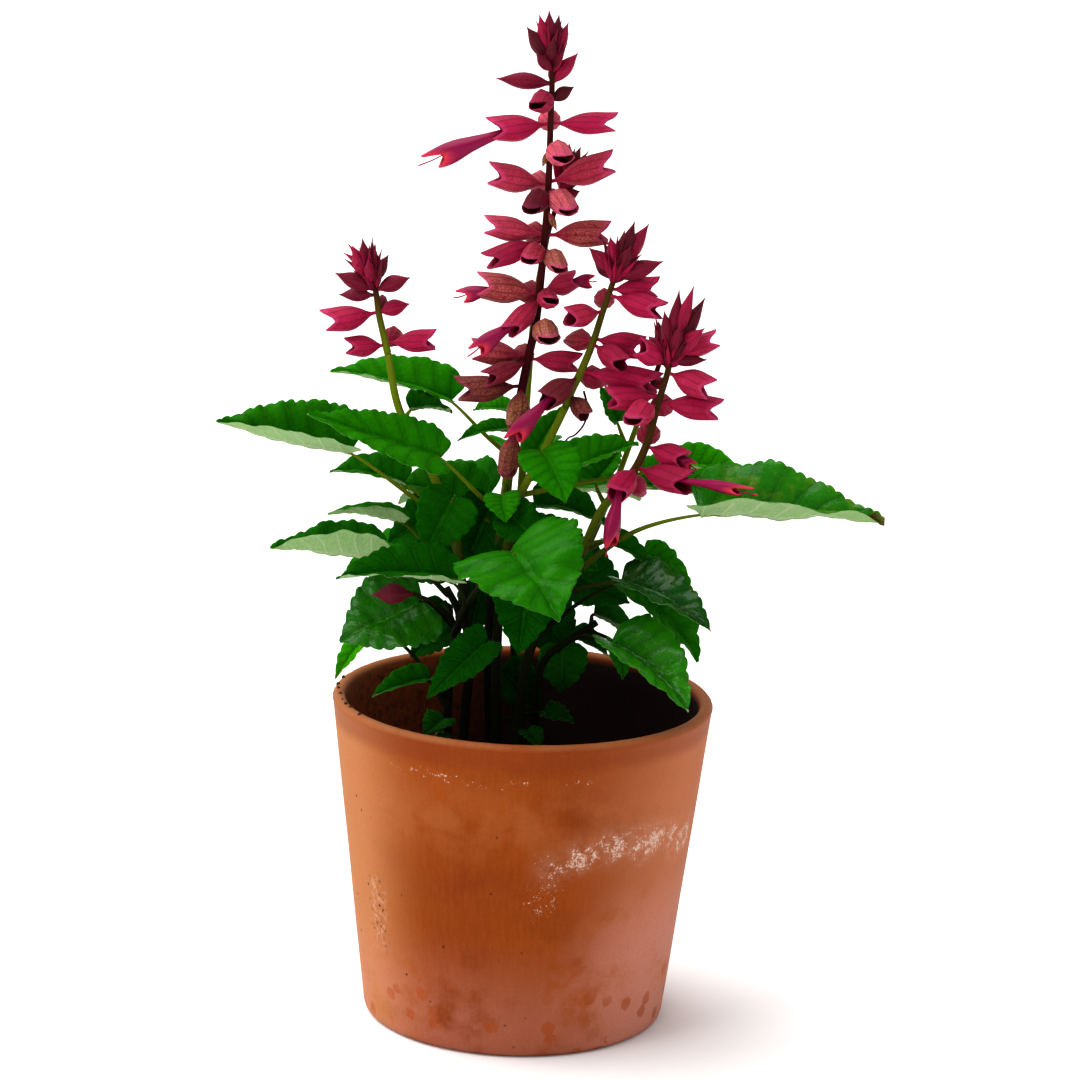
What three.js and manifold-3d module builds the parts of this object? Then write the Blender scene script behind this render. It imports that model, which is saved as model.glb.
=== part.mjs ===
import * as THREE from 'three';
import { mergeVertices } from 'three/addons/utils/BufferGeometryUtils.js';
import Module from 'manifold-3d';

const wasm = await Module();
wasm.setup();

// A scarlet salvia standing in a terracotta pot. Millimetres, +Z up, origin at the centre
// of the pot's foot, -Y is the front.

// Pot: a straight taper with a rounded lip.
const RIM_DIAMETER = 140;
const BASE_DIAMETER = 111;
const POT_HEIGHT = 121;
const WALL = 5;
const FLOOR_THICKNESS = 6;
const POT_SEGMENTS = 32;
const DRAIN_DIAMETER = 9;
const DRAIN_CIRCLE_RADIUS = 26;
const DRAIN_COUNT = 3;

// Soil: a crumbly fill well below the rim.
const SOIL_LEVEL = 83;
const SOIL_SEGMENTS = 16;
const SOIL_UNEVENNESS = 1.2;
const STEM_HOLE_DEPTH = 9;

// Free space between two pieces that rest against each other.
const GAP = 0.3;

// Foliage.
const BLADE_THICKNESS = 0.75;
const LEAF_FOLD = 32;
const LEAF_ARCH = 0.06;
const LEAF_FACE = [0, -0.35, 0.94];
const PETIOLE_RADIUS = 1.0;
const PETIOLE_SIDES = 3;
const STEM_SIDES = 6;
const RACHIS_SIDES = 4;

const COLOURS = {
  clay: 0xb5683c,
  soil: 0x3a2a1e,
  leaf: 0x1f6b12,
  calyx: 0x7d0c2e,
  corolla: 0xd01f56,
};

const point = (xyz) => new THREE.Vector3(xyz[0], xyz[1], xyz[2]);

function material(colour, roughness) {
  return new THREE.MeshStandardMaterial({ color: colour, roughness, metalness: 0 });
}

function bare(geometry) {
  const copy = geometry.clone();
  copy.deleteAttribute('normal');
  copy.deleteAttribute('uv');
  return mergeVertices(copy, 1e-4);
}

// Turns the faces outwards where a profile or a sheet was laid the other way round.
function outward(geometry) {
  const position = geometry.attributes.position;
  const index = geometry.index.array;
  const corner = (i) => new THREE.Vector3().fromBufferAttribute(position, index[i]);
  let volume = 0;
  for (let i = 0; i < index.length; i += 3) {
    volume += corner(i).dot(corner(i + 1).cross(corner(i + 2))) / 6;
  }
  if (volume < 0) {
    for (let i = 0; i < index.length; i += 3) {
      [index[i + 1], index[i + 2]] = [index[i + 2], index[i + 1]];
    }
  }
  return geometry;
}

function solid(geometry) {
  const merged = outward(bare(geometry));
  const mesh = new wasm.Mesh({
    numProp: 3,
    vertProperties: new Float32Array(merged.attributes.position.array),
    triVerts: new Uint32Array(merged.index.array),
  });
  return new wasm.Manifold(mesh);
}

function join(geometries) {
  let body = solid(geometries[0]);
  for (const geometry of geometries.slice(1)) {
    body = body.add(solid(geometry));
  }
  return body;
}

function fromSolid(body) {
  const mesh = body.getMesh();
  const geometry = new THREE.BufferGeometry();
  geometry.setAttribute('position', new THREE.BufferAttribute(mesh.vertProperties, mesh.numProp));
  geometry.setIndex(new THREE.BufferAttribute(mesh.triVerts, 1));
  geometry.computeVertexNormals();
  return geometry;
}

// A round bar along a curve through the given points, thinner towards its end.
function bar(points, startRadius, endRadius, sides, steps) {
  const path = new THREE.CatmullRomCurve3(points.map(point));
  const outline = [];
  for (let i = 0; i < sides; i += 1) {
    const angle = (2 * Math.PI * i) / sides;
    outline.push(new THREE.Vector2(Math.cos(angle), Math.sin(angle)));
  }
  const geometry = bare(new THREE.ExtrudeGeometry(new THREE.Shape(outline), {
    extrudePath: path, steps, bevelEnabled: false, curveSegments: 1,
  }));
  const stations = path.getSpacedPoints(steps);
  const position = geometry.attributes.position;
  for (let i = 0; i < position.count; i += 1) {
    const corner = new THREE.Vector3().fromBufferAttribute(position, i);
    let nearest = 0;
    stations.forEach((station, k) => {
      if (station.distanceTo(corner) < stations[nearest].distanceTo(corner)) {
        nearest = k;
      }
    });
    const radius = startRadius + ((endRadius - startRadius) * nearest) / steps;
    const moved = corner.sub(stations[nearest]).multiplyScalar(radius).add(stations[nearest]);
    position.setXYZ(i, moved.x, moved.y, moved.z);
  }
  return geometry;
}

// Leaf outlines: each row gives the place along the midrib, the place of the margin along
// the blade and the half width there, all as shares of the length and of the full width.
// The margin steps in and out to form the rounded teeth; the first rows form the heart base.
const LARGE_OUTLINE = [
  [0.00, -0.01, 0.05], [0.04, -0.06, 0.28], [0.13, 0.04, 0.44], [0.23, 0.16, 0.50],
  [0.32, 0.27, 0.455], [0.42, 0.39, 0.475], [0.53, 0.51, 0.38], [0.64, 0.63, 0.36],
  [0.76, 0.76, 0.23], [0.88, 0.89, 0.16], [1.00, 1.00, 0.015],
];
const MEDIUM_OUTLINE = [
  [0.00, -0.01, 0.06], [0.07, -0.05, 0.33], [0.25, 0.17, 0.50], [0.42, 0.39, 0.42],
  [0.60, 0.57, 0.40], [0.80, 0.80, 0.20], [1.00, 1.00, 0.015],
];
const SMALL_OUTLINE = [
  [0.00, -0.01, 0.08], [0.08, -0.03, 0.36], [0.30, 0.24, 0.50], [0.56, 0.54, 0.38],
  [0.80, 0.81, 0.20], [1.00, 1.00, 0.03],
];
const LARGE_FROM = 45;
const MEDIUM_FROM = 24;
const RUFFLE = 0.012;

// The frame of a blade: its midrib runs from base to tip and bows towards the upper face.
function bladeFrame(leaf) {
  const base = point(leaf.base);
  const tip = point(leaf.tip);
  const length = base.distanceTo(tip);
  const along = tip.clone().sub(base).divideScalar(length);
  const hint = point(leaf.face ?? LEAF_FACE);
  const up = hint.addScaledVector(along, -hint.dot(along)).normalize();
  const across = new THREE.Vector3().crossVectors(along, up);
  const arch = leaf.arch ?? LEAF_ARCH;
  const midrib = (t) => base.clone()
    .addScaledVector(along, t * length)
    .addScaledVector(up, 4 * arch * length * t * (1 - t));
  const normal = (t) => {
    const slope = 4 * arch * (1 - 2 * t);
    return up.clone().addScaledVector(along, -slope).normalize();
  };
  return { length, along, across, midrib, normal };
}

// A toothed blade folded along its midrib, as a thin closed sheet. Where a leaf gives `near`,
// its front half folds by that angle and shows its underside.
function blade(leaf) {
  const { length, along, across, midrib, normal } = bladeFrame(leaf);
  let outline = SMALL_OUTLINE;
  if (length > LARGE_FROM) {
    outline = LARGE_OUTLINE;
  } else if (length > MEDIUM_FROM) {
    outline = MEDIUM_OUTLINE;
  }
  const farFold = leaf.fold ?? LEAF_FOLD;
  const frontSide = across.y < 0 ? 1 : -1;
  const bands = outline.length - 1;
  const sheet = new THREE.PlaneGeometry(1, 1, 2, bands);
  const count = sheet.attributes.position.count;
  const corners = new Float32Array(count * 2 * 3);
  const columns = 3;
  for (let i = 0; i < count; i += 1) {
    const row = Math.floor(i / columns);
    const side = (i % columns) - 1;
    const [midShare, edgeShare, halfWidth] = outline[row];
    const onEdge = Math.abs(side);
    const share = onEdge ? edgeShare : midShare;
    const place = midrib(midShare).addScaledVector(along, (share - midShare) * length);
    const half = halfWidth * leaf.width * onEdge;
    const lift = normal(midShare);
    const bend = side === frontSide ? leaf.near ?? farFold : farFold;
    const fold = THREE.MathUtils.degToRad(bend);
    const wave = onEdge * RUFFLE * leaf.width * (row % 2 ? -1 : 1);
    place.addScaledVector(across, side * half * Math.cos(fold));
    place.addScaledVector(lift, half * Math.sin(fold) + wave);
    const upper = place.clone().addScaledVector(lift, BLADE_THICKNESS / 2);
    const lower = place.clone().addScaledVector(lift, -BLADE_THICKNESS / 2);
    upper.toArray(corners, i * 3);
    lower.toArray(corners, (count + i) * 3);
  }
  const faces = [];
  const index = sheet.index.array;
  for (let i = 0; i < index.length; i += 3) {
    faces.push(index[i], index[i + 1], index[i + 2]);
    faces.push(count + index[i], count + index[i + 2], count + index[i + 1]);
  }
  const rim = [];
  for (let row = 0; row <= bands; row += 1) {
    rim.push(row * columns);
  }
  for (let column = 1; column < columns; column += 1) {
    rim.push(bands * columns + column);
  }
  for (let row = bands - 1; row >= 0; row -= 1) {
    rim.push(row * columns + columns - 1);
  }
  rim.push(1);
  rim.forEach((here, k) => {
    const next = rim[(k + 1) % rim.length];
    faces.push(here, count + here, next);
    faces.push(next, count + here, count + next);
  });
  const geometry = new THREE.BufferGeometry();
  geometry.setAttribute('position', new THREE.BufferAttribute(corners, 3));
  geometry.setIndex(faces);
  return geometry;
}

// A leaf is a blade and the petiole that carries it from its place on the stem.
const PETIOLE_SINK = 0.1;
const PETIOLE_END = 0.36;
function leafSolids(leaf) {
  const { midrib } = bladeFrame(leaf);
  const root = point(leaf.from);
  const end = midrib(PETIOLE_SINK);
  const start = midrib(0);
  const route = [root];
  if (leaf.via) {
    route.push(point(leaf.via));
  }
  route.push(start, end);
  const radius = leaf.petiole ?? PETIOLE_RADIUS;
  const steps = leaf.via ? 3 : 2;
  const stalk = bar(route.map((p) => p.toArray()), radius * 1.15, PETIOLE_END, PETIOLE_SIDES, steps);
  return [blade(leaf), stalk];
}

// A bell with an upper lip and two lower teeth, or a closed bud when it has no mouth.
const BELL_SIDES = 6;
const BELL_RINGS = [[0.00, 0.20], [0.42, 0.92]];
const BELL_LIPS = [[1.00, 1.25], [0.80, 1.00], [0.99, 1.20], [0.84, 1.05], [0.99, 1.20], [0.80, 1.00]];
const BELL_MOUTH = [0.62, 0.58];
const BELL_BOTTOM = 0.42;
const FLOWER_RINGS = [[0.00, 0.40], [0.50, 0.56], [0.72, 0.80]];
const FLOWER_LIPS = [[1.00, 1.00], [0.84, 0.80], [0.90, 1.35], [0.94, 1.30], [0.90, 1.35], [0.84, 0.80]];
const FLOWER_MOUTH = [0.72, 0.45];
const FLOWER_BOTTOM = 0.55;
const BUD_SIDES = 4;
const BUD_RINGS = [[0.00, 0.24], [0.42, 0.95]];

function turned(rings, sides, from, to, width, lips, mouth, bottom) {
  const start = point(from);
  const axis = point(to).sub(start);
  const length = axis.length();
  axis.normalize();
  const vertical = new THREE.Vector3(0, 0, 1);
  if (Math.abs(axis.z) > 0.92) {
    vertical.set(0, -1, 0);
  }
  const up = vertical.addScaledVector(axis, -vertical.dot(axis)).normalize();
  const side = new THREE.Vector3().crossVectors(axis, up);
  const profile = [new THREE.Vector2(0, 0)];
  rings.forEach(([share, radius]) => profile.push(new THREE.Vector2(radius, share)));
  if (lips) {
    profile.push(new THREE.Vector2(1, 1));
    profile.push(new THREE.Vector2(mouth[1], mouth[0]));
    profile.push(new THREE.Vector2(0, bottom));
  } else {
    profile.push(new THREE.Vector2(0, 1));
  }
  const geometry = bare(new THREE.LatheGeometry(profile, sides));
  const position = geometry.attributes.position;
  for (let i = 0; i < position.count; i += 1) {
    const raw = new THREE.Vector3().fromBufferAttribute(position, i);
    const angle = Math.atan2(raw.x, raw.z);
    const station = ((Math.round((angle * sides) / (2 * Math.PI)) % sides) + sides) % sides;
    let radius = Math.hypot(raw.x, raw.z);
    let share = raw.y;
    if (lips && share > 0.999) {
      [share, radius] = lips[station];
    }
    const turn = (2 * Math.PI * station) / sides;
    const reach = (radius * width) / 2;
    const place = start.clone().addScaledVector(axis, share * length);
    place.addScaledVector(up, reach * Math.cos(turn)).addScaledVector(side, reach * Math.sin(turn));
    position.setXYZ(i, place.x, place.y, place.z);
  }
  return geometry;
}

function calyx(from, to, width) {
  return turned(BELL_RINGS, BELL_SIDES, from, to, width, BELL_LIPS, BELL_MOUTH, BELL_BOTTOM);
}

function bud(from, to, width) {
  return turned(BUD_RINGS, BUD_SIDES, from, to, width);
}

function corolla(from, to, width) {
  return turned(FLOWER_RINGS, BELL_SIDES, from, to, width, FLOWER_LIPS, FLOWER_MOUTH, FLOWER_BOTTOM);
}

// Leafy stems. Each leaf names where its petiole leaves the stem, where the blade begins
// and ends, its full width and, where needed, the direction that its upper face looks.
const STEMS = {
  stem_main: {
    bars: [
      { route: [[-10, 4, 74], [-10, 4, 86], [-12, 2, 115], [-13, 1, 141], [-11, 0, 171], [-9, 0, 190],
        [-8, 0, 204]], radii: [2.3, 1.9], steps: 7 },
    ],
    leaves: [
      { from: [-10, 0, 190], via: [-17, -13, 197], base: [-32, -22, 213], tip: [-79, -34, 230],
        width: 27, face: [0, -0.5, 0.85], fold: 14, arch: 0.02 },
      { from: [-9, 0, 199], base: [-10, -12, 198], tip: [-8, -21, 190], width: 14,
        face: [0, -0.8, 0.6], fold: 15 },
      { from: [-11, 0, 182], base: [-20, 10, 188], tip: [-50, 18, 194], width: 31 },
      { from: [-10, 0, 186], base: [2, 3, 191], tip: [29, 4, 184], width: 23 },
      { from: [-10, 0, 184], base: [-13, 7, 192], tip: [-24, 8, 164], width: 26, face: [0, -0.85, 0.5] },
      { from: [-11, 0, 170], base: [6, 4, 172], tip: [38, 2, 156], width: 29,
        face: [0.1, -0.8, 0.55], fold: 18 },
      { from: [-12, 0, 156], base: [2, 5, 156], tip: [18, 5, 135], width: 24,
        face: [0, -0.85, 0.5], fold: 18 },
      { from: [-13, 1, 138], base: [-26, 9, 144], tip: [-42, 12, 130], width: 16, face: [0, -0.85, 0.5] },
      { from: [-12, 1, 148], base: [-16, 8, 160], tip: [-20, 10, 141], width: 18, face: [0, -0.85, 0.5] },
      { from: [-12, 2, 116], base: [-8, 8, 128], tip: [6, 10, 112], width: 20, face: [0, -0.85, 0.5] },
      { from: [-11, 0, 166], base: [-23, 8, 174], tip: [-44, 11, 161], width: 27, face: [0, -0.85, 0.5] },
    ],
  },
  stem_left: {
    bars: [
      { route: [[-22, 2, 74], [-22, 2, 86], [-21, -3, 112], [-20, -7, 135], [-23, -8, 161],
        [-27, -8, 185], [-38, -6, 209], [-48, -5, 227], [-52.5, -5, 247]], radii: [2.0, 1.3], steps: 8 },
    ],
    leaves: [
      { from: [-27, -8, 184], via: [-46, -8, 198], base: [-65, -9, 211], tip: [-113, -14, 222],
        width: 35, face: [0, -0.62, 0.78], fold: 30, near: 64, arch: 0 },
      { from: [-25, -8, 174], via: [-34, -2, 190], base: [-46, 1, 198], tip: [-73, 4, 201], width: 20 },
      { from: [-23, -8, 164], base: [-45, -6, 185], tip: [-73, -4, 187], width: 16,
        face: [0, 0.1, 1] },
      { from: [-46, -6, 222], base: [-44, -1, 226], tip: [-29, 6, 224], width: 15 },
      { from: [-28, -8, 187], base: [-27, -16, 198], tip: [-37, -20, 178], width: 23,
        face: [0.1, -0.85, 0.5], fold: 14 },
    ],
  },
  stem_centre: {
    bars: [
      { route: [[-8, -10, 74], [-8, -10, 86], [-9, -9, 105], [-10, -9, 143], [-8, -8, 173],
        [-4, -6, 195], [4, -6, 212], [8, -5, 221], [12, -5, 230]], radii: [2.1, 1.4], steps: 8 },
    ],
    leaves: [
      { from: [4, -6, 211], base: [4, -18, 216], tip: [13, -34, 201], width: 23,
        face: [0.1, -0.75, 0.65], fold: 12 },
      { from: [-1, -6, 203], base: [13, 0, 204], tip: [39, 5, 215], width: 22 },
      { from: [-3, -6, 197], via: [24, 0, 202], base: [52, 2, 207], tip: [78, 2, 206], width: 20 },
      { from: [-8, -8, 165], base: [0, -27, 174], tip: [-2, -40, 146], width: 26,
        face: [0, -0.9, 0.4], fold: 18 },
      { from: [-10, -9, 140], base: [-13, -28, 148], tip: [-34, -44, 130], width: 18,
        face: [-0.2, -0.8, 0.6], fold: 20 },
      { from: [-8, -8, 175], base: [0, -6, 182], tip: [26, -6, 170], width: 22, face: [0, -0.8, 0.55] },
      { from: [-9, -9, 113], base: [8, -12, 118], tip: [19, -16, 115], width: 11, fold: 15 },
      { from: [-6, -7, 183], base: [-8, -14, 192], tip: [6, -20, 181], width: 18,
        face: [0.1, -0.85, 0.5], fold: 14 },
    ],
  },
  stem_right: {
    bars: [
      { route: [[2, -16, 74], [2, -16, 86], [-1, -16, 112], [2, -18, 142], [12, -18, 165],
        [20, -16, 180], [26, -14, 194], [34, -12, 204]], radii: [2.1, 1.6], steps: 8 },
    ],
    leaves: [
      { from: [13, -18, 168], via: [38, -24, 189], base: [61, -30, 197.5], tip: [125.5, -40, 199.5],
        width: 40, petiole: 1.2, fold: 40, near: 46, arch: 0.01 },
      { from: [20, -16, 181], base: [27, -18, 184], tip: [45, -20, 175], width: 14 },
      { from: [19, -16, 178], via: [30, -8, 182], base: [42, -2, 176], tip: [60, -4, 163], width: 15 },
      { from: [12, -18, 164], base: [34, -26, 171], tip: [66, -46, 159], width: 25, arch: 0.04 },
      { from: [3, -18, 146], via: [20, -14, 160], base: [34, -10, 166], tip: [63, -18, 140], width: 34 },
      { from: [-1, -16, 112], base: [2, -21, 113], tip: [7, -30, 109], width: 9, fold: 15 },
    ],
  },
  stem_back: {
    bars: [
      { route: [[0, 16, 74], [0, 16, 86], [-3, 18, 120], [-4, 18, 160], [-3, 19, 200], [-2, 20, 233],
        [0, 20, 267], [3, 20, 286]], radii: [2.1, 1.0], steps: 9 },
      { route: [[-3, 18, 124], [13, 15, 153], [29, 10, 193], [41, 6, 231]], radii: [1.5, 1.0], steps: 4 },
    ],
    leaves: [
      { from: [-3, 19, 202], via: [-16, 17, 213], base: [-30, 18, 226], tip: [-75, 26, 234], width: 26 },
      { from: [-3, 19, 212], base: [-9, 12, 217], tip: [-27, 9, 213], width: 10 },
      { from: [-3, 19, 204], base: [1, 11, 208], tip: [14, 9, 228], width: 13, face: [-0.3, -0.7, 0.5] },
      { from: [-3, 19, 218], base: [-9, 19, 223], tip: [-22, 22, 222], width: 11 },
      { from: [35, 8, 212], base: [31, 10, 222], tip: [24, 14, 234], width: 14 },
      { from: [-4, 18, 172], base: [-26, 23, 184], tip: [-52, 26, 170], width: 24, face: [0, -0.85, 0.5] },
      { from: [28, 10, 190], base: [24, 14, 198], tip: [33, 22, 209], width: 16 },
      { from: [-4, 18, 178], base: [-16, 32, 187], tip: [-50, 58, 178], width: 32 },
      { from: [-3, 19, 186], base: [12, 32, 190], tip: [42, 60, 182], width: 32 },
      { from: [-3, 19, 196], base: [-2, 34, 200], tip: [-4, 76, 190], width: 32 },
      { from: [30, 9, 196], base: [42, 18, 196], tip: [80, 26, 186], width: 28 },
      { from: [-4, 18, 150], base: [-28, 28, 166], tip: [-68, 38, 156], width: 32 },
      { from: [-4, 18, 138], base: [6, 34, 154], tip: [22, 68, 138], width: 30 },
    ],
  },
  shoot_low_left: {
    bars: [
      { route: [[-24, -14, 74], [-24, -14, 86], [-27, -14, 110], [-26, -14, 140], [-24, -13, 153],
        [-29, -11, 163]], radii: [1.9, 1.3], steps: 6 },
      { route: [[-25, -13, 149], [-32, -25, 160], [-40, -31, 165]], radii: [0.9, 0.7], steps: 3 },
    ],
    leaves: [
      { from: [-24, -13, 152], via: [-16, -24, 168], base: [-6, -36, 183], tip: [12, -70, 167],
        width: 48, petiole: 1.5, face: [-0.12, -0.6, 0.8], fold: 12, arch: 0.1 },
      { from: [-28, -12, 160], via: [-40, -14, 171], base: [-53, -18, 174], tip: [-92, -26, 179],
        width: 27, fold: 38, near: 72, arch: 0 },
      { from: [-26, -14, 146], via: [-22, -28, 162], base: [-26, -36, 171], tip: [-67, -48, 174],
        width: 27 },
      { from: [-25, -13, 148], base: [-37, -21, 160], tip: [-66, -33, 147], width: 36,
        face: [-0.15, -0.8, 0.55], fold: 10 },
      { from: [-25, -14, 148], base: [-30, 0, 155], tip: [-38, 5, 137], width: 15, face: [0, -0.9, 0.4] },
      { from: [-27, -14, 122], base: [-34, -22, 131], tip: [-54, -33, 127], width: 14 },
      { from: [-27, -14, 108], base: [-28, -20, 116], tip: [-35, -28, 112], width: 13, fold: 18 },
      { from: [-26, -14, 100], base: [-25, -19, 107], tip: [-37, -24, 102], width: 10 },
      { from: [-27, -14, 118], via: [-42, -2, 136], base: [-55, 4, 143], tip: [-69, -2, 124.5], width: 12 },
    ],
  },
  shoot_low_right: {
    bars: [
      { route: [[8, -4, 74], [8, -4, 86], [5, -8, 110], [7, -11, 136], [16, -12, 145], [26, -12, 152]],
        radii: [1.9, 1.3], steps: 6 },
    ],
    leaves: [
      { from: [16, -12, 145], via: [22, -22, 149], base: [31, -30, 149], tip: [59, -52, 131], width: 32 },
      { from: [22, -12, 149], base: [32, -14, 146], tip: [36, -20, 133], width: 12,
        face: [0.3, -0.8, 0.4] },
      { from: [24, -12, 151], base: [25, 0, 152], tip: [40, 6, 140], width: 19 },
      { from: [12, -12, 141], base: [18, -4, 144], tip: [31, -3, 137], width: 14 },
      { from: [15, -12, 144.5], base: [14, -4, 141], tip: [14, -4, 123], width: 19,
        face: [0.1, -0.95, 0.2], fold: 15 },
    ],
  },
};

// Flower spikes. A rachis and what grows on it: [from, to, width] for each.
const SPIKES = {
  spike_main: {
    route: [[-7.9, 0, 204.6], [-6.5, 0, 218], [-4, 0, 235], [-2, 0, 247], [0, 0, 258], [1.6, 0, 278],
      [2.6, 0, 296], [3, 0, 308], [3, 0, 331], [3, 0, 346], [2.2, 0, 357]],
    radii: [1.9, 1.0],
    steps: 11,
    buds: [
      [[2, 0, 354], [-3, -2, 372], 5.5], [[2, 0, 355], [1, 0, 373.5], 5.5], [[3, 0, 354], [5, 2, 372], 5],
      [[2, 0, 353], [-8, -3, 367], 5.5], [[3, 0, 353], [9, 2, 369], 5], [[2, 0, 352], [3, -6, 362], 5],
      [[2, 0, 352], [4, 6, 363], 5], [[2.7, -0.3, 349.5], [-3, -6, 356], 4.5], [[3, 0, 345], [-17, -3, 346.5], 6],
      [[3, 0, 345], [12, 3, 356], 5.5], [[3, 0, 345], [4, 11, 352], 5], [[3, 0, 339], [11, 3, 344], 5],
    ],
    calyces: [
      [[3, 0, 339.5], [-3, -11, 339], 8], [[3, 0, 331], [-19, -3, 327], 8.5],
      [[3, 0, 331], [27, 3, 331], 7.5],
      [[3, 0, 330], [2, 17, 332], 8], [[3, 0, 322], [9, -14, 321], 8.5],
      [[3, 0, 309], [-19, -3, 312], 9], [[3, 0, 310], [27, 3, 317], 9], [[3, 0, 307], [-4, -14, 302], 8.5],
      [[3, 0, 307], [12, -13, 302], 8.5], [[3, 0, 308], [-3, 17, 309], 8.5],
      [[3, 0, 291], [-20, 3, 293], 8.5], [[2, 0, 289], [-19, -7, 281], 8],
      [[2, 0, 287], [-4, -13, 284], 7.5],
      [[3, 0, 291], [26, 3, 292], 9], [[3, 0, 286], [9, -14, 281], 8], [[3, 0, 290], [-5, 13, 291], 8],
      [[2, 0, 270], [-22, 3, 271], 9], [[2, 0, 269], [-10, -9, 256], 8], [[2, 0, 271], [15, 5, 274], 7.5],
      [[2, 0, 268], [6, -12, 270], 7], [[2, 0, 270], [-6, 13, 268], 8], [[1, 0, 259], [6, -14, 256], 9],
      [[-2, 0, 247], [-23, 3, 247], 8.5], [[-2, 0, 245], [-18, -9, 239], 7],
      [[-2, 0, 246], [17, 4, 244], 7.5],
      [[-2, 0, 247], [-6, 13, 245], 8], [[-4, 0, 236], [-28, -2, 233], 8.5],
      [[-4, 0, 236], [-6, -12, 221], 8.5],
      [[-6, 0, 220], [-9, -7, 203], 8],
    ],
  },
  spike_behind: {
    route: [[3.05, 20, 286.6], [4, 20, 291], [7, 19, 302], [10, 19, 312]],
    radii: [1.0, 0.8],
    steps: 3,
    buds: [
      [[10, 19, 309], [10, 19, 324], 5], [[9.5, 19, 309], [15, 17, 323], 4.5],
      [[9.5, 19, 309], [19, 20, 316], 4.5], [[9.5, 19, 308], [6, 22, 320], 4.5],
      [[8, 19, 302], [14.5, 16, 305], 4.5], [[7, 19, 301], [3, 26, 304], 4.5],
    ],
    calyces: [],
  },
  spike_left: {
    route: [[-52.65, -5, 247.6], [-54, -5, 253], [-56, -5, 261], [-57.5, -5, 270], [-60, -5, 278]],
    radii: [1.3, 0.9],
    steps: 7,
    buds: [
      [[-60, -5, 273], [-67, -7, 288], 5.5], [[-60, -5, 273], [-63, -5, 291], 5.5],
      [[-59.5, -5, 273], [-58, -3, 288], 5.5], [[-59, -5, 272], [-53, -6, 283], 5],
      [[-59, -5, 272], [-60, -12, 282], 5], [[-59, -5, 272], [-62, 3, 283], 5],
      [[-58, -5, 270], [-72, -8, 276], 6], [[-58, -5, 268], [-71, -1, 267], 5],
      [[-57, -5, 270], [-45, -6, 275], 6], [[-56, -5, 262], [-45, -3, 265], 6],
      [[-56, -5, 262], [-55, 8, 266], 6],
    ],
    calyces: [
      [[-56, -5, 262], [-76, -7, 257], 8], [[-53, -5, 250], [-68, -8, 249], 7],
      [[-53, -5, 251], [-35, -4, 252], 7.5], [[-53, -5, 251], [-50, 12, 252], 7],
    ],
  },
  spike_centre: {
    route: [[12.2, -5, 230.6], [13.5, -5, 235], [17, -5, 243], [21, -5, 254], [24, -5, 265], [27, -5, 275],
      [29, -5, 283]],
    radii: [1.5, 0.9],
    steps: 9,
    buds: [
      [[28.5, -5, 280], [25, -5, 294], 5.5], [[29, -5, 281], [35, -7, 301], 5.5],
      [[29, -5, 280], [41, -5, 300], 5.5], [[28, -5, 279], [18, -6, 288], 5.5],
      [[29, -5, 280], [31, 2, 296], 5], [[29, -5, 279], [33, -12, 290], 5],
      [[28, -5, 277], [45, -6, 284], 6.5], [[28, -5, 277], [20, 5, 282], 5.5],
    ],
    calyces: [
      [[26, -5, 273], [44, -2, 273], 7.5], [[26, -5, 271], [46, -12, 266], 8],
      [[24, -5, 265], [10, -12, 263], 8.5], [[25, -5, 268], [24, 12, 268], 7.5],
      [[21, -5, 255], [39, -2, 251], 8.5], [[21, -5, 253], [33, -16, 247], 8.5],
      [[21, -5, 254], [12, 9, 252], 8], [[17, -5, 243], [46, -6, 239], 9],
      [[16, -5, 241], [3, -17, 233], 9], [[17, -5, 242], [25, 10, 237], 8],
      [[13.3, -5, 234.5], [20, -10, 227], 7],
    ],
  },
  spike_right: {
    route: [[34.4, -12, 204.5], [38, -12, 210], [41.5, -12, 219], [45, -12, 234], [48, -12, 246],
      [49, -12, 254]],
    radii: [1.6, 1.0],
    steps: 8,
    buds: [
      [[49, -12, 251], [51, -12, 279], 6], [[49, -12, 253], [57, -14, 281], 5.5],
      [[49, -12, 251], [62, -11, 276], 5.5], [[49, -12, 252], [45, -14, 270], 5.5],
      [[49, -12, 251], [54, -3, 270], 5], [[49, -12, 251], [62, -17, 264], 6],
      [[49, -12, 250], [52, -20, 266], 5], [[48, -12, 249], [62, -12, 250], 4.5],
      [[49, -12, 250], [46, 0, 258], 5.5],
    ],
    calyces: [
      [[49, -12, 251], [66, -9, 257], 7], [[48, -12, 248], [36, -15, 254], 7.5],
      [[47.5, -12, 245], [64, -15, 239], 9], [[45, -12, 236], [26, -12, 234], 8.5],
      [[44, -12, 233], [34, -25, 230], 9], [[45, -12, 234], [68, -10, 231], 9],
      [[45, -12, 234], [48, 4, 229], 8], [[41, -12, 218], [56, -17, 213], 8.5],
      [[41, -12, 219], [43, 4, 222], 8], [[38, -12, 210], [29.5, -23, 201], 9],
      [[38, -12, 210], [58, -26, 206.5], 9], [[37, -12, 207], [40, -1, 198], 7],
    ],
  },
  spike_far: {
    route: [[41.2, 5.95, 231.6], [44, 6, 240], [47, 6, 252]],
    radii: [1.0, 0.8],
    steps: 3,
    buds: [
      [[46.5, 6, 249], [44, 6, 262], 5], [[46.5, 6, 249], [53, 9, 259], 5],
      [[46, 6, 249], [41, 10, 254], 4.5],
      [[46, 6, 249], [48, 13, 257], 4.5], [[43, 6, 238], [35, 9, 241], 4.5],
      [[42.5, 6, 236], [49, 11, 238], 4.5],
    ],
    calyces: [],
  },
};

// A single closed bud on a side stalk low on the left.
const LOW_BUD = { name: 'bud_low_left', from: [-40.4, -31.3, 165.1], to: [-55, -34, 165], width: 6.5 };

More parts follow.
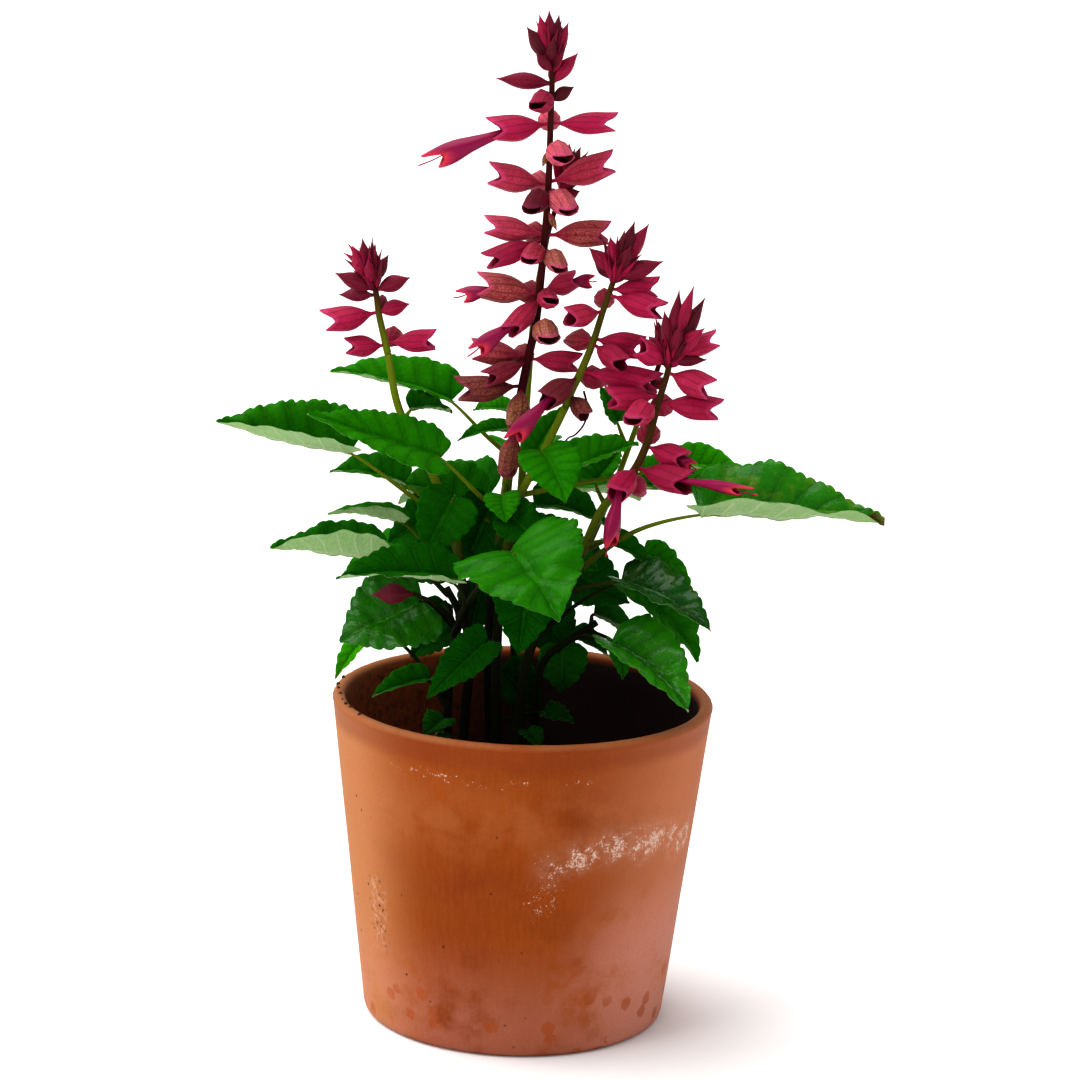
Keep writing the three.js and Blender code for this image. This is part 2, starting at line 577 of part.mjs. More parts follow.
// Open flowers, each standing in the mouth of a calyx without touching it.
const COROLLAS = {
  corolla_main_high: [[-10.1, -1.8, 328.6], [-42, -8, 317], 8],
  corolla_main_mid: [[-11.2, 1.7, 270.6], [-29, 2.5, 268], 6],
  corolla_main_low: [[-5.2, -5.4, 261.2], [-23, -13, 250], 7],
  corolla_main_right: [[9.4, 2.9, 272.7], [21, 6, 275], 5.5],
  corolla_centre: [[8.4, -12, 236.3], [-9, -23, 220], 7.5],
  corolla_right_high: [[49.1, -14.7, 215.3], [59.3, -17.8, 212.4], 5],
  corolla_right_long: [[32.6, -19, 204.6], [28, -34, 184], 8],
  corolla_right_thin: [[48.6, -19.4, 208.1], [78.5, -50, 211], 4.5],
};

// Pot.
function pot() {
  const rimRadius = RIM_DIAMETER / 2;
  const baseRadius = BASE_DIAMETER / 2;
  const footRound = 3;
  const lip = WALL / 2;
  const outer = (z) => baseRadius + ((rimRadius - baseRadius) * z) / POT_HEIGHT;
  const profile = [
    [0, 0], [baseRadius - footRound, 0], [outer(footRound), footRound],
    [outer(80), 80], [outer(POT_HEIGHT - lip), POT_HEIGHT - lip],
    [rimRadius - 0.7, POT_HEIGHT - 0.9], [rimRadius - lip, POT_HEIGHT],
    [rimRadius - WALL + 0.7, POT_HEIGHT - 0.9], [rimRadius - WALL, POT_HEIGHT - lip],
    [outer(FLOOR_THICKNESS + 4) - WALL, FLOOR_THICKNESS + 4],
    [outer(FLOOR_THICKNESS) - WALL - 3, FLOOR_THICKNESS], [0, FLOOR_THICKNESS],
  ].map(([r, z]) => new THREE.Vector2(r, z));
  const shell = new THREE.LatheGeometry(profile, POT_SEGMENTS);
  shell.rotateX(Math.PI / 2);
  let body = solid(shell);
  for (let i = 0; i < DRAIN_COUNT; i += 1) {
    const angle = (2 * Math.PI * (i + 0.25)) / DRAIN_COUNT;
    const drill = new THREE.CylinderGeometry(
      DRAIN_DIAMETER / 2, DRAIN_DIAMETER / 2, 4 * FLOOR_THICKNESS, 10,
    );
    drill.rotateX(Math.PI / 2);
    drill.translate(DRAIN_CIRCLE_RADIUS * Math.cos(angle), DRAIN_CIRCLE_RADIUS * Math.sin(angle), 0);
    body = body.subtract(solid(drill));
  }
  return fromSolid(body);
}

// Soil with a plain hole for each stem.
function soil() {
  const slope = (RIM_DIAMETER - BASE_DIAMETER) / 2 / POT_HEIGHT;
  const inner = (z) => BASE_DIAMETER / 2 + slope * z - WALL - GAP;
  const bottom = FLOOR_THICKNESS + GAP;
  const profile = [
    [0, bottom], [inner(bottom) - 3.3, bottom], [inner(bottom + 4), bottom + 4],
    [inner(SOIL_LEVEL), SOIL_LEVEL], [42, SOIL_LEVEL], [20, SOIL_LEVEL],
    [0, SOIL_LEVEL],
  ].map(([r, z]) => new THREE.Vector2(r, z));
  const fill = new THREE.LatheGeometry(profile, SOIL_SEGMENTS);
  fill.rotateX(Math.PI / 2);
  const merged = bare(fill);
  const position = merged.attributes.position;
  for (let i = 0; i < position.count; i += 1) {
    const x = position.getX(i);
    const y = position.getY(i);
    const inside = Math.hypot(x, y) < inner(SOIL_LEVEL) - WALL;
    if (inside && position.getZ(i) > SOIL_LEVEL - 1) {
      const bump = Math.sin(0.23 * x + 1) * Math.cos(0.19 * y) + 0.6 * Math.sin(0.31 * (x - y));
      position.setZ(i, SOIL_LEVEL + SOIL_UNEVENNESS * bump);
    }
  }
  let body = solid(merged);
  for (const stem of Object.values(STEMS)) {
    const [x, y, z] = stem.bars[0].route[0];
    const radius = stem.bars[0].radii[0] + 3 * GAP;
    const drill = new THREE.CylinderGeometry(radius, radius, 3 * STEM_HOLE_DEPTH, 8);
    drill.rotateX(Math.PI / 2);
    drill.translate(x, y, z - GAP + 1.5 * STEM_HOLE_DEPTH);
    body = body.subtract(solid(drill));
  }
  return fromSolid(body);
}

function stem(entry) {
  const pieces = entry.bars.map(({ route, radii, steps }) => (
    bar(route, radii[0], radii[1], STEM_SIDES, steps)
  ));
  entry.leaves.forEach((leaf) => pieces.push(...leafSolids(leaf)));
  return fromSolid(join(pieces));
}

function spike(entry) {
  const pieces = [bar(entry.route, entry.radii[0], entry.radii[1], RACHIS_SIDES, entry.steps)];
  entry.buds.forEach(([from, to, width]) => pieces.push(bud(from, to, width)));
  entry.calyces.forEach(([from, to, width]) => pieces.push(calyx(from, to, width)));
  return fromSolid(join(pieces));
}

const plant = new THREE.Group();

function place(name, geometry, colour, roughness) {
  const mesh = new THREE.Mesh(geometry, material(colour, roughness));
  mesh.name = name;
  plant.add(mesh);
}

place('pot', pot(), COLOURS.clay, 0.85);
place('soil', soil(), COLOURS.soil, 0.95);
Object.entries(STEMS).forEach(([name, entry]) => place(name, stem(entry), COLOURS.leaf, 0.5));
Object.entries(SPIKES).forEach(([name, entry]) => place(name, spike(entry), COLOURS.calyx, 0.6));
Object.entries(COROLLAS).forEach(([name, [from, to, width]]) => (
  place(name, fromSolid(solid(corolla(from, to, width))), COLOURS.corolla, 0.5)
));

place(LOW_BUD.name, fromSolid(solid(bud(LOW_BUD.from, LOW_BUD.to, LOW_BUD.width))), COLOURS.calyx, 0.6);

export default plant;
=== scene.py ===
# %% [markdown]
# A scarlet salvia in a terracotta pot. The solids come first: they give every size and place.
# This script keeps those places and swaps each plain solid for a finer piece of the same form:
# leaves with veins and scalloped edges, ribbed velvety calyces, tubular flowers, worn clay.

import math

import bpy
import numpy as np
from mathutils import Matrix, Vector


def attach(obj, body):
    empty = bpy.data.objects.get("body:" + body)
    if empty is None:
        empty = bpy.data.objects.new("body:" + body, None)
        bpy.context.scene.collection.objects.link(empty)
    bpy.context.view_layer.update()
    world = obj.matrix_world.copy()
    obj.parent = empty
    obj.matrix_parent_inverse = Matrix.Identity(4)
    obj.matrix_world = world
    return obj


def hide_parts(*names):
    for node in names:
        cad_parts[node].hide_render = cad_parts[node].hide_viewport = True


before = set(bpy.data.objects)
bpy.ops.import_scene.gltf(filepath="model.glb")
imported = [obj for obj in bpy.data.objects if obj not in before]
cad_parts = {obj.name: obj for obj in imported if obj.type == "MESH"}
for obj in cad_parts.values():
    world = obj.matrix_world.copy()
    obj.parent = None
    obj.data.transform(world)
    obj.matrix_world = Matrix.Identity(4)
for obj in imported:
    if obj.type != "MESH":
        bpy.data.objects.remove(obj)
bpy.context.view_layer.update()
MM = 0.001
print("solids loaded:", len(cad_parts))

# %% [markdown]
# Every leaf and flower is described by a row of a table in millimetres, and a few functions
# turn a row into a surface. All surfaces of one stem end up in one mesh, so a small collector
# gathers vertices, faces, the leaf coordinates (UV) and a few painted values for the materials.

# %% a collector for surfaces
PAINTS = ("tone", "age", "under", "wet")


class Surfaces:
    def __init__(self):
        self.points, self.quads, self.uvs, self.slots = [], [], [], []
        self.paints = {name: [] for name in PAINTS}
        self.count = 0

    def add(self, points, quads, uvs, slot, **values):
        self.points.append(points)
        self.quads.append(quads + self.count)
        self.uvs.append(uvs)
        self.slots.append(np.full(len(quads), slot))
        for name in PAINTS:
            value = values.get(name, 0.0)
            self.paints[name].append(np.broadcast_to(np.asarray(value, float), (len(points),)))
        self.count += len(points)

    def build(self, name, materials):
        points = np.concatenate(self.points) * MM
        quads = np.concatenate(self.quads)
        uvs = np.concatenate(self.uvs)
        corners, starts, sizes = [], [], []
        place = 0
        for quad in quads:
            ring = [quad[0]]
            for corner in quad[1:]:
                if corner != ring[-1]:
                    ring.append(corner)
            if ring[-1] == ring[0]:
                ring.pop()
            corners.extend(ring)
            starts.append(place)
            sizes.append(len(ring))
            place += len(ring)
        mesh = bpy.data.meshes.new(name)
        mesh.vertices.add(len(points))
        mesh.vertices.foreach_set("co", points.ravel())
        mesh.loops.add(len(corners))
        mesh.loops.foreach_set("vertex_index", corners)
        mesh.polygons.add(len(starts))
        mesh.polygons.foreach_set("loop_start", starts)
        mesh.polygons.foreach_set("loop_total", sizes)
        mesh.polygons.foreach_set("material_index", np.concatenate(self.slots).astype(int))
        mesh.update(calc_edges=True)
        layer = mesh.uv_layers.new(name="leaf")
        layer.data.foreach_set("uv", uvs[np.array(corners)].ravel())
        for paint in PAINTS:
            values = np.concatenate(self.paints[paint]).astype(float)
            attribute = mesh.attributes.new(paint, "FLOAT", "POINT")
            attribute.data.foreach_set("value", values)
        for material in materials:
            mesh.materials.append(material)
        mesh.polygons.foreach_set("use_smooth", [True] * len(mesh.polygons))
        mesh.validate()
        thing = bpy.data.objects.new(name, mesh)
        bpy.context.scene.collection.objects.link(thing)
        return thing


def unit(vector):
    return vector / np.linalg.norm(vector)


def smooth_table(shares, values, at):
    """A smooth curve through a short table of values."""
    shares, values, at = np.array(shares, float), np.array(values, float), np.asarray(at, float)
    slopes = np.gradient(values, shares)
    k = np.clip(np.searchsorted(shares, at, side="right") - 1, 0, len(shares) - 2)
    step = shares[k + 1] - shares[k]
    s = (at - shares[k]) / step
    return ((2 * s**3 - 3 * s**2 + 1) * values[k] + (s**3 - 2 * s**2 + s) * step * slopes[k]
            + (3 * s**2 - 2 * s**3) * values[k + 1] + (s**3 - s**2) * step * slopes[k + 1])


print("collector ready, painted values:", ", ".join(PAINTS))


# %% [markdown]
# Stems, petioles and spike stalks are round bars along a smooth curve. Young sage stems are
# square with rounded corners, so the section bulges a little four times around.
# A flexible bar needs a frame that doesn't spin on the way, so each ring carries on the last
# ring's side direction.

# %% bars along a curve
def smooth_route(route, samples):
    """Points along a Catmull-Rom curve through the route, evenly spaced."""
    knots = np.array(route, float)
    gaps = np.sqrt(np.linalg.norm(np.diff(knots, axis=0), axis=1)) + 1e-9
    first, last = 2 * knots[0] - knots[1], 2 * knots[-1] - knots[-2]
    padded = np.vstack([first, knots, last])
    spans = np.concatenate([[gaps[0]], gaps, [gaps[-1]]])
    fine = []
    for i in range(len(knots) - 1):
        p0, p1, p2, p3 = padded[i:i + 4]
        d0, d1, d2 = spans[i:i + 3]
        m1 = ((p1 - p0) / d0 - (p2 - p0) / (d0 + d1) + (p2 - p1) / d1) * d1
        m2 = ((p2 - p1) / d1 - (p3 - p1) / (d1 + d2) + (p3 - p2) / d2) * d1
        s = np.linspace(0, 1, 24, endpoint=False)[:, None]
        fine.append((2 * s**3 - 3 * s**2 + 1) * p1 + (s**3 - 2 * s**2 + s) * m1
                    + (3 * s**2 - 2 * s**3) * p2 + (s**3 - s**2) * m2)
    fine = np.vstack(fine + [knots[-1:]])
    run = np.concatenate([[0], np.cumsum(np.linalg.norm(np.diff(fine, axis=0), axis=1))])
    even = np.linspace(0, run[-1], samples)
    return np.stack([np.interp(even, run, fine[:, k]) for k in range(3)], 1)


def tube_faces(rings, sides):
    """Faces of a tube of rings, closed by a fan round one more point at each end."""
    number = np.arange(rings * sides).reshape(rings, sides)
    after = np.roll(number, -1, axis=1)
    walls = np.stack([number[:-1], after[:-1], after[1:], number[1:]], -1).reshape(-1, 4)
    foot, head = rings * sides, rings * sides + 1
    caps = [(foot, n, k, k) for k, n in zip(number[0], after[0])]
    caps += [(head, k, n, n) for k, n in zip(number[-1], after[-1])]
    return np.concatenate([walls, np.array(caps)])


def bar(out, route, radii, slot, sides=12, spacing=1.6, square=0.0, tones=(0.0, 0.0), **values):
    length = np.linalg.norm(np.diff(np.array(route, float), axis=0), axis=1).sum()
    rings = max(4, int(length / spacing) + 1)
    centre = smooth_route(route, rings)
    ahead = np.gradient(centre, axis=0)
    ahead /= np.linalg.norm(ahead, axis=1)[:, None]
    side = unit(np.cross(ahead[0], [0.31, 0.17, 0.93]))
    share = np.linspace(0, 1, rings)
    radius = radii[0] + (radii[1] - radii[0]) * share
    turn = np.linspace(0, 2 * np.pi, sides, endpoint=False)
    points = []
    for i in range(rings):
        side = unit(side - ahead[i] * side.dot(ahead[i]))
        other = np.cross(ahead[i], side)
        reach = radius[i] * (1 + square * np.cos(4 * turn))
        points.append(centre[i] + reach[:, None] * (np.cos(turn)[:, None] * side
                                                    + np.sin(turn)[:, None] * other))
    points = np.vstack(points + [centre[:1], centre[-1:]])
    uvs = np.zeros((len(points), 2))
    uvs[:rings * sides, 0] = np.tile(turn / (2 * np.pi), rings)
    uvs[:rings * sides, 1] = np.repeat(share, sides)
    tone = np.append(np.repeat(tones[0] + (tones[1] - tones[0]) * share, sides), tones)
    out.add(points, tube_faces(rings, sides), uvs, slot, tone=tone, **values)


print("bar rule ready: a tube of 4 rings and 12 sides has", len(tube_faces(4, 12)), "faces")

# %% [markdown]
# A salvia leaf is a pointed heart with rounded teeth. Its side veins leave the midrib and
# curve towards the tip, and the blade swells up between them like a quilt. All of that is a
# rule over two leaf coordinates: the share of the length and the share of the half width, so
# the whole leaf is one grid, bent along its midrib and folded into a shallow V. A second
# copy of the grid, a third of a millimetre lower, is the pale underside.

# %% leaves
OUTLINE_AT = [0, .03, .08, .15, .23, .33, .42, .53, .64, .76, .86, .94, 1]
HALF_WIDTH = [.03, .23, .37, .455, .49, .49, .465, .415, .345, .245, .14, .055, .006]
EDGE_SHIFT = [-.01, -.085, -.09, -.08, -.07, -.06, -.035, -.02, -.01, 0, .01, .01, 0]
DEFAULT_FACE = (0, -0.35, 0.94)
VEIN_PAIRS = 7.0
VEIN_LEAN = 0.24
TOOTH_LENGTH = 3.3
BLADE = 0.34
ROWS_PER_TOOTH, SMALL_LEAF, FULL_WIDTH = 7, 26, 40


def leaf_frame(base, tip, face):
    base, tip = np.array(base, float), np.array(tip, float)
    length = np.linalg.norm(tip - base)
    along = (tip - base) / length
    up = np.array(face or DEFAULT_FACE, float)
    up = unit(up - along * up.dot(along))
    return base, length, along, up, np.cross(along, up)


def leaf(out, base, tip, width, face=None, fold=32, near=None, arch=0.06, slot=0, seed=0, tone=0.5,
         age=0.0, wet=0.3, ruffle=1.0):
    random = np.random.default_rng(seed)
    base, length, along, up, across = leaf_frame(base, tip, face)
    teeth = max(6, round(length / TOOTH_LENGTH))
    rows = teeth * ROWS_PER_TOOTH + 1
    half = 9 if length < SMALL_LEAF else 13
    t = np.linspace(0, 1, rows)[:, None]
    u = np.linspace(-1, 1, 2 * half + 1)[None, :]
    side = np.sign(u)
    reach = np.abs(u)
    smooth_half = smooth_table(OUTLINE_AT, HALF_WIDTH, t) * width
    beat = (t * teeth + 0.5 + 0.12 * side) % 1.0
    lobe = np.sin(np.pi * beat**0.85) ** 0.55
    uneven = 1 + 0.35 * np.sin(5.1 * t * teeth / 3 + seed)
    bite = (0.034 * width + 0.65) * np.sin(np.pi * np.clip(t, 0, 1)) ** 0.45 * uneven
    across_by = u * smooth_half + side * reach**7 * bite * (lobe - 0.72)
    shift = smooth_table(OUTLINE_AT, EDGE_SHIFT, t) * reach**1.6
    along_by = shift * length
    sweep, twist = random.uniform(-0.035, 0.035), random.uniform(-9, 9)
    slope = 4 * arch * (1 - 2 * t)
    lift = up[None, None, :] - slope[..., None] * along
    lift = lift / np.linalg.norm(lift, axis=-1, keepdims=True)
    centre = base + along * (t * length)[..., None] + up * (4 * arch * length * t * (1 - t))[..., None]
    centre = centre + across * (sweep * length * np.sin(np.pi * t))[..., None]
    front = 1 if across[1] < 0 else -1
    folded = np.where(side == front, fold if near is None else near, fold)
    angle = np.radians(folded + side * twist * (t - 0.35))
    size = width / FULL_WIDTH
    phase = (t - VEIN_LEAN * reach * (1 - 0.3 * reach) + 0.035 * side) * VEIN_PAIRS
    from_vein = np.abs((phase + 0.5) % 1.0 - 0.5) / VEIN_PAIRS * length
    fade = np.clip(1.15 - reach, 0, 1) ** 0.5 * np.clip((1 - t) * 4, 0, 1)
    quilt = (1 - np.exp(-(from_vein / (1.3 * size + 0.35)) ** 2)) * fade * (0.6 * size + 0.1)
    cross_phase = reach * width / 2 / (3.2 * size + 0.8) + 0.35 * np.sin(6.3 * phase)
    quilt = quilt * (0.72 + 0.28 * np.cos(2 * np.pi * cross_phase))
    midrib = np.exp(-(across_by / (0.9 * size + 0.35)) ** 2)
    waves = 0
    for _ in range(3):
        turns, start = random.uniform(1.5, 5.5), random.uniform(0, 6.28)
        waves = waves + np.sin(2 * np.pi * turns * t + start + 1.4 * side) * random.uniform(0.4, 1)
    swell = 0
    for _ in range(3):
        turns, start = random.uniform(1, 3), random.uniform(0, 6.28)
        sideways = np.sin(np.pi * (u + random.uniform(-0.4, 0.4)))
        swell = swell + np.sin(2 * np.pi * turns * t + start) * sideways
    raised = (reach * smooth_half * np.sin(angle)
              + 0.30 * smooth_half * reach * (1 - reach)
              + quilt - 0.5 * size * midrib
              + 0.014 * width * swell * np.sin(np.pi * np.clip(t, 0, 1))
              + 0.016 * width * reach**6 * (lobe - 0.6) + ruffle * 0.018 * width * reach**2 * waves)
    middle = (centre + along * along_by[..., None] + across * (across_by * np.cos(angle))[..., None])
    thick = BLADE * (1 - 0.6 * reach**4) + 0 * t
    upper = middle + lift * (raised + thick / 2)[..., None]
    rib = 0.85 * size * np.exp(-(across_by / (0.8 * size + 0.3)) ** 2) * (1 - 0.8 * t)
    lower = middle + lift * (raised - thick / 2 - rib)[..., None]
    columns = 2 * half + 1
    number = np.arange(rows * columns).reshape(rows, columns)
    total = rows * columns
    top = np.stack([number[:-1, :-1], number[:-1, 1:], number[1:, 1:], number[1:, :-1]], -1)
    top = top.reshape(-1, 4)
    bottom = top[:, ::-1] + total
    rim = np.concatenate([number[0, :], number[1:, -1], number[-1, -2::-1], number[-2:0:-1, 0]])
    nxt = np.roll(rim, -1)
    edge = np.stack([rim, rim + total, nxt + total, nxt], -1)
    points = np.concatenate([upper.reshape(-1, 3), lower.reshape(-1, 3)])
    quads = np.concatenate([top, bottom, edge])
    # The sheet may have been laid either way up, so its faces are turned outwards here.
    a, b, c = (upper[rows // 3, half], upper[rows // 3, half + 1], upper[rows // 3 + 1, half])
    if np.dot(np.cross(b - a, c - a), lift[rows // 3, 0]) < 0:
        quads = quads[:, ::-1]
    uv = np.stack([np.broadcast_to(u * 0.5 + 0.5, (rows, columns)),
                   np.broadcast_to(t, (rows, columns))], -1).reshape(-1, 2)
    under = np.concatenate([np.zeros(total), np.ones(total)])
    out.add(points, quads, np.concatenate([uv, uv]), slot, tone=tone, age=age, under=under, wet=wet)


print("leaf rule ready: vein pairs", VEIN_PAIRS, "tooth", TOOTH_LENGTH, "mm")

# %% [markdown]
# A calyx is a ribbed bell on a short pedicel. Its mouth has one broad pointed lip above and two
# teeth below. A corolla is a long tube with a hood and a spreading lower lip, and a bud is the
# same bell still closed. One rule covers all three: rings along an axis, with a margin whose
# length and flare depend on the direction around the axis. Open ones get an inner wall too.

# %% bells, flowers and buds
AROUND = [0, 30, 60, 90, 120, 150, 180]
CALYX = {"at": [0, .08, .16, .26, .40, .55, .70, .85, 1],
         "radius": [.14, .14, .17, .46, .78, .98, 1.03, 1.0, .95],
         "reach": [1.0, .93, .82, .77, .88, .97, .96], "flare": [1.35, 1.12, .98, .94, 1.0, 1.0, .98],
         "inside": .45, "wall": .35, "ribs": 10, "rib": .035}
FLOWER = {"at": [0, .15, .3, .45, .6, .75, .88, 1], "radius": [.30, .36, .46, .60, .76, .82, .72, .55],
          "reach": [1.0, .98, .90, .78, .78, .84, .86], "flare": [.75, .72, .80, .95, 1.5, 2.0, 2.1],
          "inside": .60, "wall": .25, "ribs": 5, "rib": .03}
BUD = {"at": [0, .08, .2, .36, .52, .68, .82, .93, 1],
       "radius": [.24, .3, .66, .95, 1.0, .78, .42, .13, .02], "ribs": 8, "rib": .05}
OPEN_RINGS, SHUT_RINGS, INNER_RINGS = 15, 11, 7
BRACT = {"at": [0, .12, .35, .6, .8, 1], "radius": [.3, .8, 1.0, .6, .22, .02], "ribs": 4, "rib": .1}


def bell(out, start, end, width, kind, slot, squash=1.0, sides=20, roll=0.0, shut=(0, 0), frill=0.0,
         **values):
    start, end = np.array(start, float), np.array(end, float)
    length = np.linalg.norm(end - start)
    axis = (end - start) / length
    upright = np.array([0, 0, 1.0]) if abs(axis[2]) <= 0.92 else np.array([0, -1.0, 0])
    up = unit(upright - axis * upright.dot(axis))
    up = unit(up * math.cos(roll) + np.cross(axis, up) * math.sin(roll))
    side = np.cross(axis, up)
    over, below = shut
    turn = np.linspace(0, 2 * np.pi, sides, endpoint=False)
    degrees = np.degrees(np.minimum(turn, 2 * np.pi - turn))
    is_open = "reach" in kind
    ends = np.interp(degrees, AROUND, kind["reach"]) if is_open else np.ones(sides)
    flare = np.interp(degrees, AROUND, kind["flare"]) if is_open else np.ones(sides)
    rings = OPEN_RINGS if is_open else SHUT_RINGS
    share = np.linspace(0, 1, rings)
    bulge = smooth_table(kind["at"], kind["radius"], share)
    rib = kind["rib"] * np.cos(kind["ribs"] * turn)
    keel = 0.10 * np.exp(-(degrees / 16) ** 2) + 0.05 * np.exp(-((degrees - 120) / 14) ** 2)
    points, uvs = [], []

    def ring(v, radius, grow):
        s = v * ends
        late = np.clip((v - 0.5) / 0.5, 0, 1)
        lid = 1 - np.where(np.cos(turn) > 0, over, below) * late**1.3
        blend = np.clip((v - 0.55) / 0.45, 0, 1) ** 1.5
        spread = radius * (1 + (flare - 1) * blend) * (1 + (rib + keel) * grow)
        spread = spread * (1 + frill * late**3 * np.cos(5 * turn + 40 * roll))
        reach = spread * width / 2
        points.append(start + axis * (s * length)[:, None]
                      + up * (reach * np.cos(turn) * lid)[:, None]
                      + side * (reach * squash * np.sin(turn))[:, None])
        uvs.append(np.stack([turn / (2 * np.pi), v + 0 * turn], 1))

    for v, radius in zip(share, bulge):
        ring(v, radius, math.sin(math.pi * min(v, 0.8)) if is_open else math.sin(math.pi * v))
    inner = np.zeros(rings)
    if is_open:
        wall = 2 * kind["wall"] / width
        for v in np.linspace(1, kind["inside"], INNER_RINGS):
            radius = float(smooth_table(kind["at"], kind["radius"], [v])[0]) - wall
            ring(v, max(radius, 0.08), 0.5)
        inner = np.concatenate([inner, np.linspace(0.1, 1, INNER_RINGS)])
        closing = start + axis * ((kind["inside"] - 0.03) * length)
    else:
        closing = points[-1].mean(0)
    grid = np.vstack(points + [points[0].mean(0)[None], closing[None]])
    quads = tube_faces(len(points), sides)
    if np.dot(np.cross(up, side), axis) < 0:
        quads = quads[:, ::-1]
    uv = np.vstack(uvs + [[[0.5, 0]], [[0.5, kind.get("inside", 1.0)]]])
    under = np.concatenate([np.repeat(inner, sides), [0, 1.0 if is_open else 0]])
    values.setdefault("tone", 0.5)
    out.add(grid, quads, uv, slot, under=under, **values)


print("bell rule ready for calyces, flowers and buds")


# %% [markdown]
# The plant, row by row, in millimetres. Z is up, the front is -Y, and 0 is the centre of the
# pot's foot. A sprig is one leaf: where its petiole leaves the stem, where the blade begins and
# ends, its full width, and how light its green is, which is painted light and shade, low for
# leaves in the shade of others. Wet leaves shine and aged ones turn yellow.

# %% leafy stems, row by row
FORWARD = [0, -0.85, 0.5]


def sprig(root, base, tip, width, tone, **rest):
    return dict(root=root, base=base, tip=tip, width=width, tone=tone, **rest)


